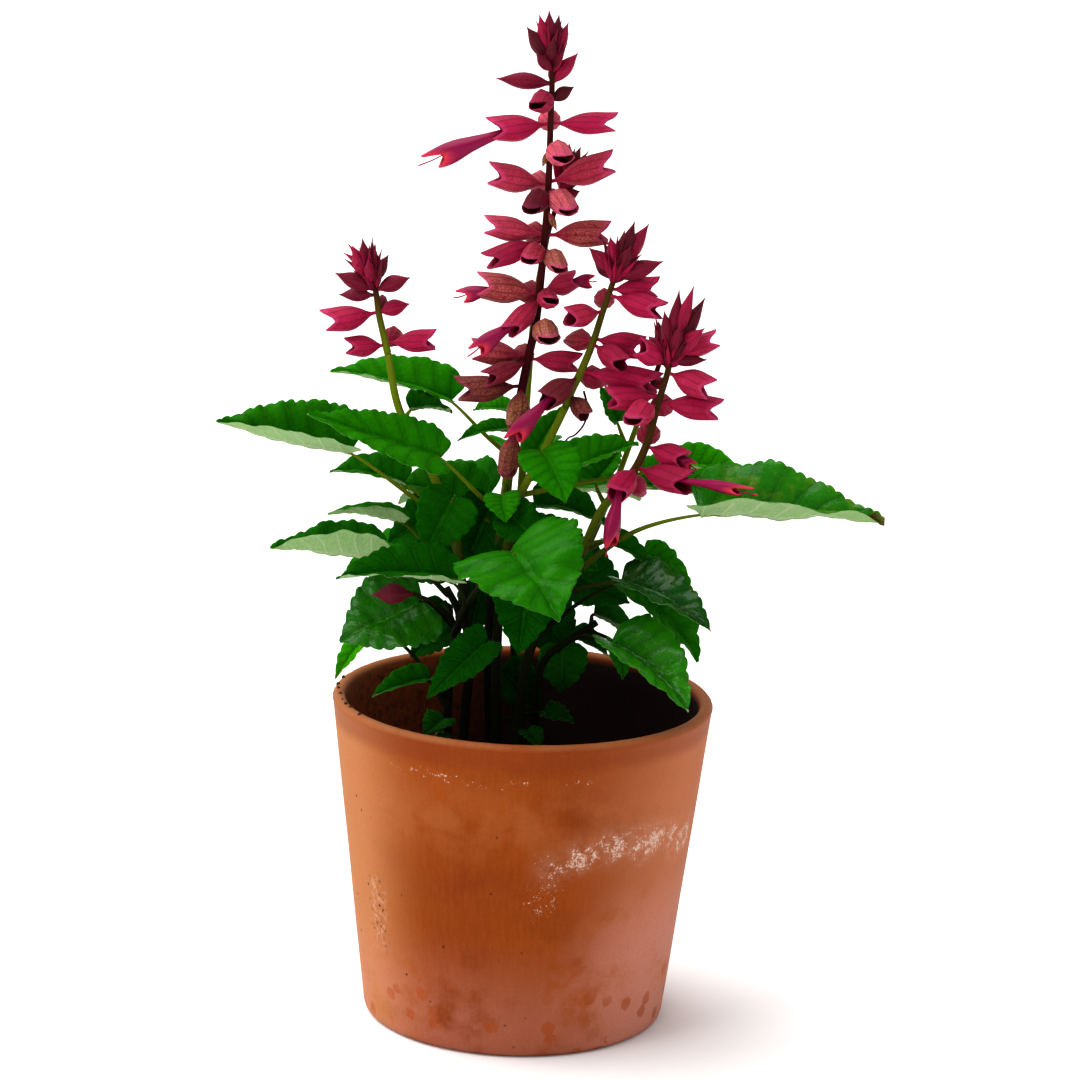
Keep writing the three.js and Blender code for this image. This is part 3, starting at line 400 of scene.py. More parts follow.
STEMS = {
    "stem_main": {"bars": [
        dict(route=[[-10, 4, 74], [-10, 4, 86], [-12, 2, 115], [-13, 1, 141], [-11, 0, 171], [-9, 0, 190],
                     [-8, 0, 204]], radii=[2.3, 1.9]),
    ], "leaves": [
        sprig([-10, 0, 190], [-32, -22, 213], [-79, -34, 230], 27, 0.45, via=[-17, -13, 197],
              face=[0, -0.5, 0.85], fold=14, arch=0.02, wet=0.4),
        sprig([-9, 0, 199], [-10, -12, 198], [-8, -21, 190], 14, 0.5, face=[0, -0.8, 0.6], fold=15),
        sprig([-11, 0, 182], [-20, 10, 188], [-50, 18, 194], 31, 0.35),
        sprig([-10, 0, 186], [2, 3, 191], [29, 4, 184], 23, 0.15),
        sprig([-10, 0, 184], [-13, 7, 192], [-24, 8, 164], 26, 0.04, face=FORWARD),
        sprig([-11, 0, 170], [6, 4, 172], [38, 2, 156], 29, 0.08, face=[0.1, -0.8, 0.55], fold=18, wet=0.5),
        sprig([-12, 0, 156], [2, 5, 156], [18, 5, 135], 24, 0.05, face=FORWARD, fold=18),
        sprig([-13, 1, 138], [-26, 9, 144], [-42, 12, 130], 16, 0.05, face=FORWARD),
        sprig([-12, 1, 148], [-16, 8, 160], [-20, 10, 141], 18, 0.04, face=FORWARD),
        sprig([-12, 2, 116], [-8, 8, 128], [6, 10, 112], 20, 0.04, face=FORWARD),
        sprig([-11, 0, 166], [-23, 8, 174], [-44, 11, 161], 27, 0.05, face=FORWARD),
    ]},
    "stem_left": {"bars": [
        dict(route=[[-22, 2, 74], [-22, 2, 86], [-21, -3, 112], [-20, -7, 135], [-23, -8, 161],
                     [-27, -8, 185], [-38, -6, 209], [-48, -5, 227], [-52.5, -5, 247]], radii=[2.0, 1.3]),
    ], "leaves": [
        sprig([-27, -8, 184], [-65, -9, 211], [-113, -14, 222], 35, 0.38, via=[-46, -8, 198],
              face=[0, -0.62, 0.78], fold=30, near=64, arch=0, age=0.05, wet=0.5),
        sprig([-25, -8, 174], [-46, 1, 198], [-73, 4, 201], 20, 0.32, via=[-34, -2, 190], wet=0.4),
        sprig([-23, -8, 164], [-45, -6, 185], [-73, -4, 187], 16, 0.5, face=[0, 0.1, 1], wet=0.2),
        sprig([-46, -6, 222], [-44, -1, 226], [-29, 6, 224], 15, 0.2),
        sprig([-28, -8, 187], [-27, -16, 198], [-37, -20, 178], 23, 0.16, face=[0.1, -0.85, 0.5], fold=14),
    ]},
    "stem_centre": {"bars": [
        dict(route=[[-8, -10, 74], [-8, -10, 86], [-9, -9, 105], [-10, -9, 143], [-8, -8, 173],
                     [-4, -6, 195], [4, -6, 212], [8, -5, 221], [12, -5, 230]], radii=[2.1, 1.4]),
    ], "leaves": [
        sprig([4, -6, 211], [4, -18, 216], [13, -34, 201], 23, 0.5, face=[0.1, -0.75, 0.65], fold=12,
              wet=0.4),
        sprig([-1, -6, 203], [13, 0, 204], [39, 5, 215], 22, 0.95),
        sprig([-3, -6, 197], [52, 2, 207], [78, 2, 206], 20, 1, via=[24, 0, 202]),
        sprig([-8, -8, 165], [0, -27, 174], [-2, -40, 146], 26, 0.05, face=[0, -0.9, 0.4], fold=18),
        sprig([-10, -9, 140], [-13, -28, 148], [-34, -44, 130], 18, 0.08, face=[-0.2, -0.8, 0.6], fold=20,
              wet=0.4),
        sprig([-8, -8, 175], [0, -6, 182], [26, -6, 170], 22, 0.18, face=[0, -0.8, 0.55], wet=0.4),
        sprig([-9, -9, 113], [8, -12, 118], [19, -16, 115], 11, 0.1, fold=15, wet=0.4),
        sprig([-6, -7, 183], [-8, -14, 192], [6, -20, 181], 18, 0.1, face=[0.1, -0.85, 0.5], fold=14,
              wet=0.4),
    ]},
    "stem_right": {"bars": [
        dict(route=[[2, -16, 74], [2, -16, 86], [-1, -16, 112], [2, -18, 142], [12, -18, 165],
                     [20, -16, 180], [26, -14, 194], [34, -12, 204]], radii=[2.1, 1.6]),
    ], "leaves": [
        sprig([13, -18, 168], [61, -30, 197.5], [125.5, -40, 199.5], 40, 0.45, via=[38, -24, 189], fold=40,
              near=46, arch=0.01, petiole=1.2, age=0.7, wet=0.8),
        sprig([20, -16, 181], [27, -18, 184], [45, -20, 175], 14, 0.2, wet=0.4),
        sprig([19, -16, 178], [42, -2, 176], [60, -4, 163], 15, 0.5, via=[30, -8, 182], wet=0.4),
        sprig([12, -18, 164], [34, -26, 171], [66, -46, 159], 25, 0.04, arch=0.04, age=0.2, wet=1),
        sprig([3, -18, 146], [34, -10, 166], [63, -18, 140], 34, 0.35, via=[20, -14, 160], age=0.1,
              wet=0.5),
        sprig([-1, -16, 112], [2, -21, 113], [7, -30, 109], 9, 0.15, fold=15, wet=0.4),
    ]},
    "stem_back": {"bars": [
        dict(route=[[0, 16, 74], [0, 16, 86], [-3, 18, 120], [-4, 18, 160], [-3, 19, 200], [-2, 20, 233],
                     [0, 20, 267], [3, 20, 286]], radii=[2.1, 1.0]),
        dict(route=[[-3, 18, 124], [13, 15, 153], [29, 10, 193], [41, 6, 231]], radii=[1.5, 1.0]),
    ], "leaves": [
        sprig([-3, 19, 202], [-30, 18, 226], [-75, 26, 234], 26, 0.55, via=[-16, 17, 213]),
        sprig([-3, 19, 212], [-9, 12, 217], [-27, 9, 213], 10, 0.35),
        sprig([-3, 19, 204], [1, 11, 208], [14, 9, 228], 13, 0.6, face=[-0.3, -0.7, 0.5]),
        sprig([-3, 19, 218], [-9, 19, 223], [-22, 22, 222], 11, 0.6),
        sprig([35, 8, 212], [31, 10, 222], [24, 14, 234], 14, 0.55),
        sprig([-4, 18, 172], [-26, 23, 184], [-52, 26, 170], 24, 0.08, face=FORWARD),
        sprig([28, 10, 190], [24, 14, 198], [33, 22, 209], 16, 0.5),
        sprig([-4, 18, 178], [-16, 32, 187], [-50, 58, 178], 32, 0.25),
        sprig([-3, 19, 186], [12, 32, 190], [42, 60, 182], 32, 0.45),
        sprig([-3, 19, 196], [-2, 34, 200], [-4, 76, 190], 32, 0.45),
        sprig([30, 9, 196], [42, 18, 196], [80, 26, 186], 28, 0.45, age=0.1),
        sprig([-4, 18, 150], [-28, 28, 166], [-68, 38, 156], 32, 0.3),
        sprig([-4, 18, 138], [6, 34, 154], [22, 68, 138], 30, 0.3),
    ]},
    "shoot_low_left": {"bars": [
        dict(route=[[-24, -14, 74], [-24, -14, 86], [-27, -14, 110], [-26, -14, 140], [-24, -13, 153],
                     [-29, -11, 163]], radii=[1.9, 1.3]),
        dict(route=[[-25, -13, 149], [-32, -25, 160], [-40, -31, 165]], radii=[0.9, 0.7]),
    ], "leaves": [
        sprig([-24, -13, 152], [-6, -36, 183], [12, -70, 167], 48, 0.42, via=[-16, -24, 168],
              face=[-0.12, -0.6, 0.8], fold=12, arch=0.1, petiole=1.5, wet=0.6),
        sprig([-28, -12, 160], [-53, -18, 174], [-92, -26, 179], 27, 0.3, via=[-40, -14, 171], fold=38,
              near=72, arch=0, wet=0.5),
        sprig([-26, -14, 146], [-26, -36, 171], [-67, -48, 174], 27, 0.14, via=[-22, -28, 162], wet=0.4),
        sprig([-25, -13, 148], [-37, -21, 160], [-66, -33, 147], 36, 0.26, face=[-0.15, -0.8, 0.55],
              fold=10, age=0.15, wet=1),
        sprig([-25, -14, 148], [-30, 0, 155], [-38, 5, 137], 15, 0.04, face=[0, -0.9, 0.4]),
        sprig([-27, -14, 122], [-34, -22, 131], [-54, -33, 127], 14, 0.3, wet=0.4),
        sprig([-27, -14, 108], [-28, -20, 116], [-35, -28, 112], 13, 0.3, fold=18),
        sprig([-26, -14, 100], [-25, -19, 107], [-37, -24, 102], 10, 0.1, wet=1),
        sprig([-27, -14, 118], [-55, 4, 143], [-69, -2, 124.5], 12, 0.85, via=[-42, -2, 136], age=0.5),
    ]},
    "shoot_low_right": {"bars": [
        dict(route=[[8, -4, 74], [8, -4, 86], [5, -8, 110], [7, -11, 136], [16, -12, 145],
                     [26, -12, 152]], radii=[1.9, 1.3]),
    ], "leaves": [
        sprig([16, -12, 145], [31, -30, 149], [59, -52, 131], 32, 0.55, via=[22, -22, 149], age=0.1, wet=1),
        sprig([22, -12, 149], [32, -14, 146], [36, -20, 133], 12, 0.35, face=[0.3, -0.8, 0.4], wet=0.4),
        sprig([24, -12, 151], [25, 0, 152], [40, 6, 140], 19, 0.1, wet=0.4),
        sprig([12, -12, 141], [18, -4, 144], [31, -3, 137], 14, 0.1, wet=0.4),
        sprig([15, -12, 144.5], [14, -4, 141], [14, -4, 123], 19, 0.2, face=[0.1, -0.95, 0.2], fold=15,
              wet=0.5),
    ]},
}

print("leaves in the table:", sum(len(entry["leaves"]) for entry in STEMS.values()))

# %% flower spikes, row by row
SPIKES = {
    "spike_main": {
        "route": [[-7.9, 0, 204.6], [-6.5, 0, 218], [-4, 0, 235], [-2, 0, 247], [0, 0, 258], [1.6, 0, 278],
                  [2.6, 0, 296], [3, 0, 308], [3, 0, 331], [3, 0, 346], [2.2, 0, 357]],
        "radii": [1.9, 1.0],
        "buds": [[[2, 0, 354], [-3, -2, 372], 5.5], [[2, 0, 355], [1, 0, 373.5], 5.5],
            [[3, 0, 354], [5, 2, 372], 5], [[2, 0, 353], [-8, -3, 367], 5.5], [[3, 0, 353], [9, 2, 369], 5],
            [[2, 0, 352], [3, -6, 362], 5], [[2, 0, 352], [4, 6, 363], 5],
            [[2.7, -0.3, 349.5], [-3, -6, 356], 4.5], [[3, 0, 345], [-17, -3, 346.5], 6],
            [[3, 0, 345], [12, 3, 356], 5.5], [[3, 0, 345], [4, 11, 352], 5],
            [[3, 0, 339], [11, 3, 344], 5]],
        "calyces": [[[3, 0, 339.5], [-3, -11, 339], 8, 0.25, 0], [[3, 0, 331], [-19, -3, 327], 8.5, 0.5, 0],
            [[3, 0, 331], [27, 3, 331], 7.5, 0.5, 0], [[3, 0, 330], [2, 17, 332], 8, 0.8, 0],
            [[3, 0, 322], [9, -14, 321], 8.5, 0.95, 0.1], [[3, 0, 309], [-19, -3, 312], 9, 0.62, 0.1],
            [[3, 0, 310], [27, 3, 317], 9, 0.55, 0.15], [[3, 0, 307], [-4, -14, 302], 8.5, 0.08, 0],
            [[3, 0, 307], [12, -13, 302], 8.5, 0.92, 0.25], [[3, 0, 308], [-3, 17, 309], 8.5, 0.8, 0.2],
            [[3, 0, 291], [-20, 3, 293], 8.5, 0.66, 0.1], [[2, 0, 289], [-19, -7, 281], 8, 0.3, 0],
            [[2, 0, 287], [-4, -13, 284], 7.5, 0.55, 0.2], [[3, 0, 291], [26, 3, 292], 9, 0.55, 0.45],
            [[3, 0, 286], [9, -14, 281], 8, 0.85, 0.65], [[3, 0, 290], [-5, 13, 291], 8, 0.6, 0.3],
            [[2, 0, 270], [-22, 3, 271], 9, 0.55, 0.45], [[2, 0, 269], [-10, -9, 256], 8, 0.4, 0.1],
            [[2, 0, 271], [15, 5, 274], 7.5, 0.62, 0], [[2, 0, 268], [6, -12, 270], 7, 0.5, 0.1],
            [[2, 0, 270], [-6, 13, 268], 8, 0.4, 0.3], [[1, 0, 259], [6, -14, 256], 9, 0.8, 0.75],
            [[-2, 0, 247], [-23, 3, 247], 8.5, 0.3, 0.3], [[-2, 0, 245], [-18, -9, 239], 7, 0.2, 0.1],
            [[-2, 0, 246], [17, 4, 244], 7.5, 0.6, 0], [[-2, 0, 247], [-6, 13, 245], 8, 0.3, 0.4],
            [[-4, 0, 236], [-28, -2, 233], 8.5, 0.12, 0.3], [[-4, 0, 236], [-6, -12, 221], 8.5, 0.25, 0.85],
            [[-6, 0, 220], [-9, -7, 203], 8, 0.12, 0.45]],
    },
    "spike_behind": {
        "route": [[3.05, 20, 286.6], [4, 20, 291], [7, 19, 302], [10, 19, 312]],
        "radii": [1.0, 0.8],
        "buds": [[[10, 19, 309], [10, 19, 324], 5], [[9.5, 19, 309], [15, 17, 323], 4.5],
            [[9.5, 19, 309], [19, 20, 316], 4.5], [[9.5, 19, 308], [6, 22, 320], 4.5],
            [[8, 19, 302], [14.5, 16, 305], 4.5], [[7, 19, 301], [3, 26, 304], 4.5]],
        "calyces": [],
    },
    "spike_left": {
        "route": [[-52.65, -5, 247.6], [-54, -5, 253], [-56, -5, 261], [-57.5, -5, 270], [-60, -5, 278]],
        "radii": [1.3, 0.9],
        "buds": [[[-60, -5, 273], [-67, -7, 288], 5.5], [[-60, -5, 273], [-63, -5, 291], 5.5],
            [[-59.5, -5, 273], [-58, -3, 288], 5.5], [[-59, -5, 272], [-53, -6, 283], 5],
            [[-59, -5, 272], [-60, -12, 282], 5], [[-59, -5, 272], [-62, 3, 283], 5],
            [[-58, -5, 270], [-72, -8, 276], 6], [[-58, -5, 268], [-71, -1, 267], 5],
            [[-57, -5, 270], [-45, -6, 275], 6], [[-56, -5, 262], [-45, -3, 265], 6],
            [[-56, -5, 262], [-55, 8, 266], 6]],
        "calyces": [[[-56, -5, 262], [-76, -7, 257], 8, 0.5, 0],
            [[-53, -5, 250], [-68, -8, 249], 7, 0.4, 0], [[-53, -5, 251], [-35, -4, 252], 7.5, 0.5, 0],
            [[-53, -5, 251], [-50, 12, 252], 7]],
    },
    "spike_centre": {
        "route": [[12.2, -5, 230.6], [13.5, -5, 235], [17, -5, 243], [21, -5, 254], [24, -5, 265],
                  [27, -5, 275], [29, -5, 283]],
        "radii": [1.5, 0.9],
        "buds": [[[28.5, -5, 280], [25, -5, 294], 5.5], [[29, -5, 281], [35, -7, 301], 5.5],
            [[29, -5, 280], [41, -5, 300], 5.5], [[28, -5, 279], [18, -6, 288], 5.5],
            [[29, -5, 280], [31, 2, 296], 5], [[29, -5, 279], [33, -12, 290], 5],
            [[28, -5, 277], [45, -6, 284], 6.5], [[28, -5, 277], [20, 5, 282], 5.5]],
        "calyces": [[[26, -5, 273], [44, -2, 273], 7.5, 0.4, 0], [[26, -5, 271], [46, -12, 266], 8, 0.5, 0],
            [[24, -5, 265], [10, -12, 263], 8.5, 0.5, 0.1], [[25, -5, 268], [24, 12, 268], 7.5],
            [[21, -5, 255], [39, -2, 251], 8.5, 0.45, 0], [[21, -5, 253], [33, -16, 247], 8.5, 0.3, 0],
            [[21, -5, 254], [12, 9, 252], 8], [[17, -5, 243], [46, -6, 239], 9, 0.5, 0],
            [[16, -5, 241], [3, -17, 233], 9, 0.12, 0.1], [[17, -5, 242], [25, 10, 237], 8],
            [[13.3, -5, 234.5], [20, -10, 227], 7, 0.1, 0.3]],
    },
    "spike_right": {
        "route": [[34.4, -12, 204.5], [38, -12, 210], [41.5, -12, 219], [45, -12, 234], [48, -12, 246],
                  [49, -12, 254]],
        "radii": [1.6, 1.0],
        "buds": [[[49, -12, 251], [51, -12, 279], 6], [[49, -12, 253], [57, -14, 281], 5.5],
            [[49, -12, 251], [62, -11, 276], 5.5], [[49, -12, 252], [45, -14, 270], 5.5],
            [[49, -12, 251], [54, -3, 270], 5], [[49, -12, 251], [62, -17, 264], 6],
            [[49, -12, 250], [52, -20, 266], 5], [[48, -12, 249], [62, -12, 250], 4.5],
            [[49, -12, 250], [46, 0, 258], 5.5]],
        "calyces": [[[49, -12, 251], [66, -9, 257], 7, 0.55, 0],
            [[48, -12, 248], [36, -15, 254], 7.5, 0.4, 0], [[47.5, -12, 245], [64, -15, 239], 9, 0.6, 0],
            [[45, -12, 236], [26, -12, 234], 8.5, 0.45, 0], [[44, -12, 233], [34, -25, 230], 9, 0.6, 0],
            [[45, -12, 234], [68, -10, 231], 9, 0.5, 0], [[45, -12, 234], [48, 4, 229], 8],
            [[41, -12, 218], [56, -17, 213], 8.5, 0.55, 0], [[41, -12, 219], [43, 4, 222], 8],
            [[38, -12, 210], [29.5, -23, 201], 9, 0.45, 0], [[38, -12, 210], [58, -26, 206.5], 9, 0.3, 0],
            [[37, -12, 207], [40, -1, 198], 7, 0.3, 0]],
    },
    "spike_far": {
        "route": [[41.2, 5.95, 231.6], [44, 6, 240], [47, 6, 252]],
        "radii": [1.0, 0.8],
        "buds": [[[46.5, 6, 249], [44, 6, 262], 5], [[46.5, 6, 249], [53, 9, 259], 5],
            [[46, 6, 249], [41, 10, 254], 4.5], [[46, 6, 249], [48, 13, 257], 4.5],
            [[43, 6, 238], [35, 9, 241], 4.5], [[42.5, 6, 236], [49, 11, 238], 4.5]],
        "calyces": [],
    },
}

print("cups in the table:", sum(len(entry["calyces"]) for entry in SPIKES.values()))

# %% open flowers, row by row
COROLLAS = {
    "corolla_main_high": [[-10.1, -1.8, 328.6], [-42, -8, 317], 8],
    "corolla_main_mid": [[-11.2, 1.7, 270.6], [-29, 2.5, 268], 6],
    "corolla_main_low": [[-5.2, -5.4, 261.2], [-23, -13, 250], 7],
    "corolla_main_right": [[9.4, 2.9, 272.7], [21, 6, 275], 5.5],
    "corolla_centre": [[8.4, -12, 236.3], [-9, -23, 220], 7.5],
    "corolla_right_high": [[49.1, -14.7, 215.3], [59.3, -17.8, 212.4], 5],
    "corolla_right_long": [[32.6, -19, 204.6], [28, -34, 184], 8],
    "corolla_right_thin": [[48.6, -19.4, 208.1], [78.5, -50, 211], 4.5],
}

print("rows:", len(STEMS), "stems,", len(SPIKES), "spikes,", len(COROLLAS), "flowers")

# %% [markdown]
# Materials are built from many small nodes. Short helpers keep the wiring readable: each adds
# one node to the tree that is being wired, which new_material and new_group choose, sets its
# inputs from numbers or from other nodes, and hands back its result.

# %% colours and plain nodes
def rgb(red, green, blue):
    def linear(value):
        value /= 255
        return value / 12.92 if value <= 0.04045 else ((value + 0.055) / 1.055) ** 2.4
    return (linear(red), linear(green), linear(blue), 1.0)


def set_inputs(node, values):
    for key, value in values.items():
        if isinstance(value, bpy.types.NodeSocket):
            tree.links.new(value, node.inputs[key])
        else:
            node.inputs[key].default_value = value
    return node


def add_node(kind, inputs=None, **settings):
    made = tree.nodes.new(kind)
    for key, value in settings.items():
        setattr(made, key, value)
    return set_inputs(made, inputs or {})


print("mid grey in linear light is", round(rgb(128, 128, 128)[0], 3))


# %% arithmetic nodes
def calc(operation, first, second=0.0, third=0.0):
    return add_node("ShaderNodeMath", {0: first, 1: second, 2: third}, operation=operation).outputs[0]


def times(first, *others):
    for other in others:
        first = calc("MULTIPLY", first, other)
    return first


def plus(first, second):
    return calc("ADD", first, second)


def minus(first, second):
    return calc("SUBTRACT", first, second)


def scaled(value, factor, offset):
    return calc("MULTIPLY_ADD", value, factor, offset)


def most(first, second):
    return calc("MAXIMUM", first, second)


def ramp(value, low, high, to_low=0.0, to_high=1.0):
    inputs = {"Value": value, "From Min": low, "From Max": high, "To Min": to_low, "To Max": to_high}
    return add_node("ShaderNodeMapRange", inputs, interpolation_type="SMOOTHSTEP").outputs[0]


def mix(share, first, second, blend="MIX"):
    inputs = {0: share, 6: first, 7: second}
    return add_node("ShaderNodeMix", inputs, data_type="RGBA", blend_type=blend).outputs[2]


print("arithmetic nodes ready")


# %% pattern nodes
def noise(where, scale, detail=3.0, rough=0.55):
    inputs = {"Vector": where, "Scale": scale, "Detail": detail, "Roughness": rough}
    return add_node("ShaderNodeTexNoise", inputs).outputs["Fac"]


def spots(where, scale, feature="F1"):
    inputs = {"Vector": where, "Scale": scale}
    return add_node("ShaderNodeTexVoronoi", inputs, feature=feature).outputs["Distance"]


def stretch(where, scale):
    return add_node("ShaderNodeMapping", {"Vector": where, "Scale": scale}).outputs[0]


def parts_of(vector):
    return add_node("ShaderNodeSeparateXYZ", {0: vector}).outputs


def bump(height, strength, distance):
    inputs = {"Height": height, "Strength": strength, "Distance": distance}
    return add_node("ShaderNodeBump", inputs).outputs["Normal"]


def paint(name):
    return add_node("ShaderNodeAttribute", attribute_name=name).outputs["Fac"]


def leaf_uv():
    return add_node("ShaderNodeUVMap", uv_map="leaf").outputs["UV"]


print("pattern nodes ready, painted values:", len(PAINTS))


# %% new materials and groups
def new_material(name):
    global tree
    material = bpy.data.materials.new(name)
    material.use_nodes = True
    tree = material.node_tree
    return material, tree.nodes["Principled BSDF"], add_node("ShaderNodeTexCoord").outputs["Object"]


def new_group(name, inputs, outputs):
    global tree
    tree = bpy.data.node_groups.new(name, "ShaderNodeTree")
    for label, kind, value in inputs:
        socket = tree.interface.new_socket(label, in_out="INPUT", socket_type=kind)
        if value is not None:
            socket.default_value = value
    for label, kind in outputs:
        tree.interface.new_socket(label, in_out="OUTPUT", socket_type=kind)
    return tree, tree.nodes.new("NodeGroupInput").outputs, tree.nodes.new("NodeGroupOutput").inputs


def use_group(group, inputs):
    made = tree.nodes.new("ShaderNodeGroup")
    made.node_tree = group
    return set_inputs(made, inputs).outputs


print("materials and groups ready")

# %% [markdown]
# The vein pattern is the same rule that shapes the blade, so colour and relief line up: a pale
# midrib, side veins that lean towards the tip, short cross veins, and a fine net in between.

# %% leaf veins
FLOAT, VECTOR = "NodeSocketFloat", "NodeSocketVector"
leaf_veins, given, results = new_group(
    "leaf veins",
    [("Leaf", VECTOR, None), ("Place", VECTOR, None),
     ("Pairs", FLOAT, VEIN_PAIRS), ("Lean", FLOAT, VEIN_LEAN)],
    [("Midrib", FLOAT), ("Side", FLOAT), ("Valley", FLOAT), ("Net", FLOAT), ("Along", FLOAT)])
parts = parts_of(given["Leaf"])
signed = scaled(parts["X"], 2.0, -1.0)
reach = calc("ABSOLUTE", signed)
half = calc("SIGN", signed)
along = parts["Y"]
lean = times(reach, given["Lean"], scaled(reach, -0.3, 1.0))
phase = times(plus(minus(along, lean), times(half, 0.035)), given["Pairs"])
wobble = scaled(noise(given["Place"], 160.0, 1.0), 0.16, -0.08)
phase = plus(phase, wobble)
gap = calc("ABSOLUTE", minus(calc("FRACT", plus(phase, 0.5)), 0.5))
side_vein = times(ramp(gap, 0.085, 0.02), ramp(reach, 1.02, 0.55), ramp(along, 1.0, 0.86))
midrib = ramp(reach, 0.10, 0.025)
rungs = plus(times(reach, 8.0), times(wobble, 6.0))
rung = calc("ABSOLUTE", minus(calc("FRACT", rungs), 0.5))
cells = spots(given["Place"], 620.0, "DISTANCE_TO_EDGE")
net = most(times(ramp(rung, 0.10, 0.03), 0.7), ramp(cells, 0.10, 0.02))
valley = most(ramp(gap, 0.30, 0.05), ramp(reach, 0.24, 0.05))
for socket, value in zip(results, (midrib, side_vein, valley, net, along)):
    tree.links.new(value, socket)
print("leaf veins: outputs", [socket.name for socket in results if socket.name])

# %% [markdown]
# Sage leaves are finely felted, so their highlights are broad. The upper side is a saturated green
# with paler veins. Its tone is painted light and shade: dark green on leaves in the shade of others,
# yellow green on lit leaves that let light through. The underside is a pale grey green with raised
# veins. Old leaves go yellow in patches and brown at the tip. Light passing through the thin blade
# is a short subsurface radius.

# %% leaf material
leaf_green, shader, where = new_material("felted sage leaf")
uv = leaf_uv()
veins = use_group(leaf_veins, {"Leaf": uv, "Place": where})
tone, age, under, wet = (paint(name) for name in PAINTS)
blotch = noise(where, 90.0, 4.0)
grain = noise(where, 900.0, 2.0)
# Painted light and shade: the tone mixes a shaded green and a lit green.
shaded_green = mix(blotch, rgb(0, 46, 0), rgb(0, 78, 0))
lit_green = mix(blotch, rgb(24, 142, 0), rgb(78, 178, 0))
top = mix(tone, shaded_green, lit_green)
# Painted shade: the sunken grooves along the side veins and the midrib are darkened.
shade = mix(tone, rgb(0, 30, 0), rgb(20, 92, 0))
top = mix(times(veins["Valley"], 0.32), top, shade)
line = most(times(veins["Side"], 0.75), veins["Midrib"])
line = most(line, times(veins["Net"], 0.28))
top = mix(times(line, 0.34), top, rgb(44, 134, 12))
# Painted shade: leaves below about 14 cm, in and just above the pot, are darkened towards black.
level = parts_of(where)["Z"]
top = mix(ramp(level, 0.140, 0.105, 0.0, 0.7), top, rgb(0, 22, 0))
yellow = times(ramp(noise(where, 130.0, 5.0), 0.48, 0.66), age)
top = mix(times(yellow, 0.45), top, rgb(128, 150, 26))
burnt = plus(times(noise(where, 240.0, 4.0), 0.5), veins["Along"])
burnt = times(ramp(burnt, 1.14, 1.25), ramp(age, 0.3, 0.6))
top = mix(burnt, top, rgb(92, 52, 22))
pale = mix(blotch, rgb(128, 164, 104), rgb(164, 190, 144))
pale = mix(times(line, 0.6), pale, rgb(196, 210, 172))
# Painted light: the underside is greener on the lit leaves.
pale = mix(times(tone, 0.35), pale, rgb(128, 160, 62))
green = mix(under, top, pale)
green = mix(times(grain, 0.35), green, rgb(10, 36, 8), "MULTIPLY")
relief = scaled(line, scaled(under, 1.6, -0.8), grain)
rough = plus(times(under, 0.3), scaled(wet, -0.28, 0.52))
drops = times(ramp(spots(where, 420.0), 0.42, 0.15), ramp(noise(where, 150.0, 3.0), 0.5, 0.6))
beaded = bump(plus(drops, times(grain, 0.3)), 0.6, 0.0005)
glaze = times(ramp(wet, 0.4, 1.0), 0.36, minus(1.0, under))
set_inputs(shader, {"Base Color": green, "Roughness": rough, "Normal": bump(relief, 0.5, 0.0004),
                    "Subsurface Weight": 0.16, "Subsurface Radius": (0.4, 0.9, 0.1),
                    "Subsurface Scale": 0.0010, "Specular IOR Level": 0.02,
                    "Coat Weight": glaze, "Coat Roughness": 0.16, "Coat Normal": beaded})
print(leaf_green.name, "nodes:", len(tree.nodes))

# %% [markdown]
# Stems are olive green higher up and dark maroon in the spikes. Low down they are nearly black,
# which is painted shade in the pot and under the leaves. Their fine lengthwise fibres are a noise
# stretched along the bar's own UV map, so they follow each bend, which a pattern in object space
# wouldn't.

# %% stem material
stem_green, shader, where = new_material("ribbed sage stem")
uv = leaf_uv()
tone, age = paint("tone"), paint("age")
fibres = noise(stretch(uv, (26.0, 5.0, 1.0)), 2.0, 3.0)
height = parts_of(where)["Z"]
young = mix(fibres, rgb(74, 98, 4), rgb(126, 140, 26))
# Painted shade: below about 22 cm the stems, in the pot and under the leaves, turn near black.
stem_in_shade = mix(fibres, rgb(8, 12, 2), rgb(28, 32, 8))
young = mix(ramp(height, 0.222, 0.155), young, stem_in_shade)
dark = mix(fibres, rgb(34, 0, 8), rgb(84, 6, 26))
stalk = mix(tone, young, dark)
stalk = mix(age, stalk, rgb(112, 92, 52))
set_inputs(shader, {"Base Color": stalk, "Normal": bump(fibres, 0.5, 0.0003), "Roughness": 0.6,
                    "Specular IOR Level": 0.06, "Subsurface Weight": 0.1,
                    "Subsurface Radius": (0.5, 0.9, 0.2), "Subsurface Scale": 0.001})
print(stem_green.name, "nodes:", len(tree.nodes))

# %% [markdown]
# The calyx is a velvety sepal cup. Ten ribs run along it, with a fine net of nerves between them.
# Its colour goes from near-black maroon in the shade through burgundy to a lit rose, and the
# old cups dry to a papery tan. Tone and age come from the cup's row, so one material serves all.

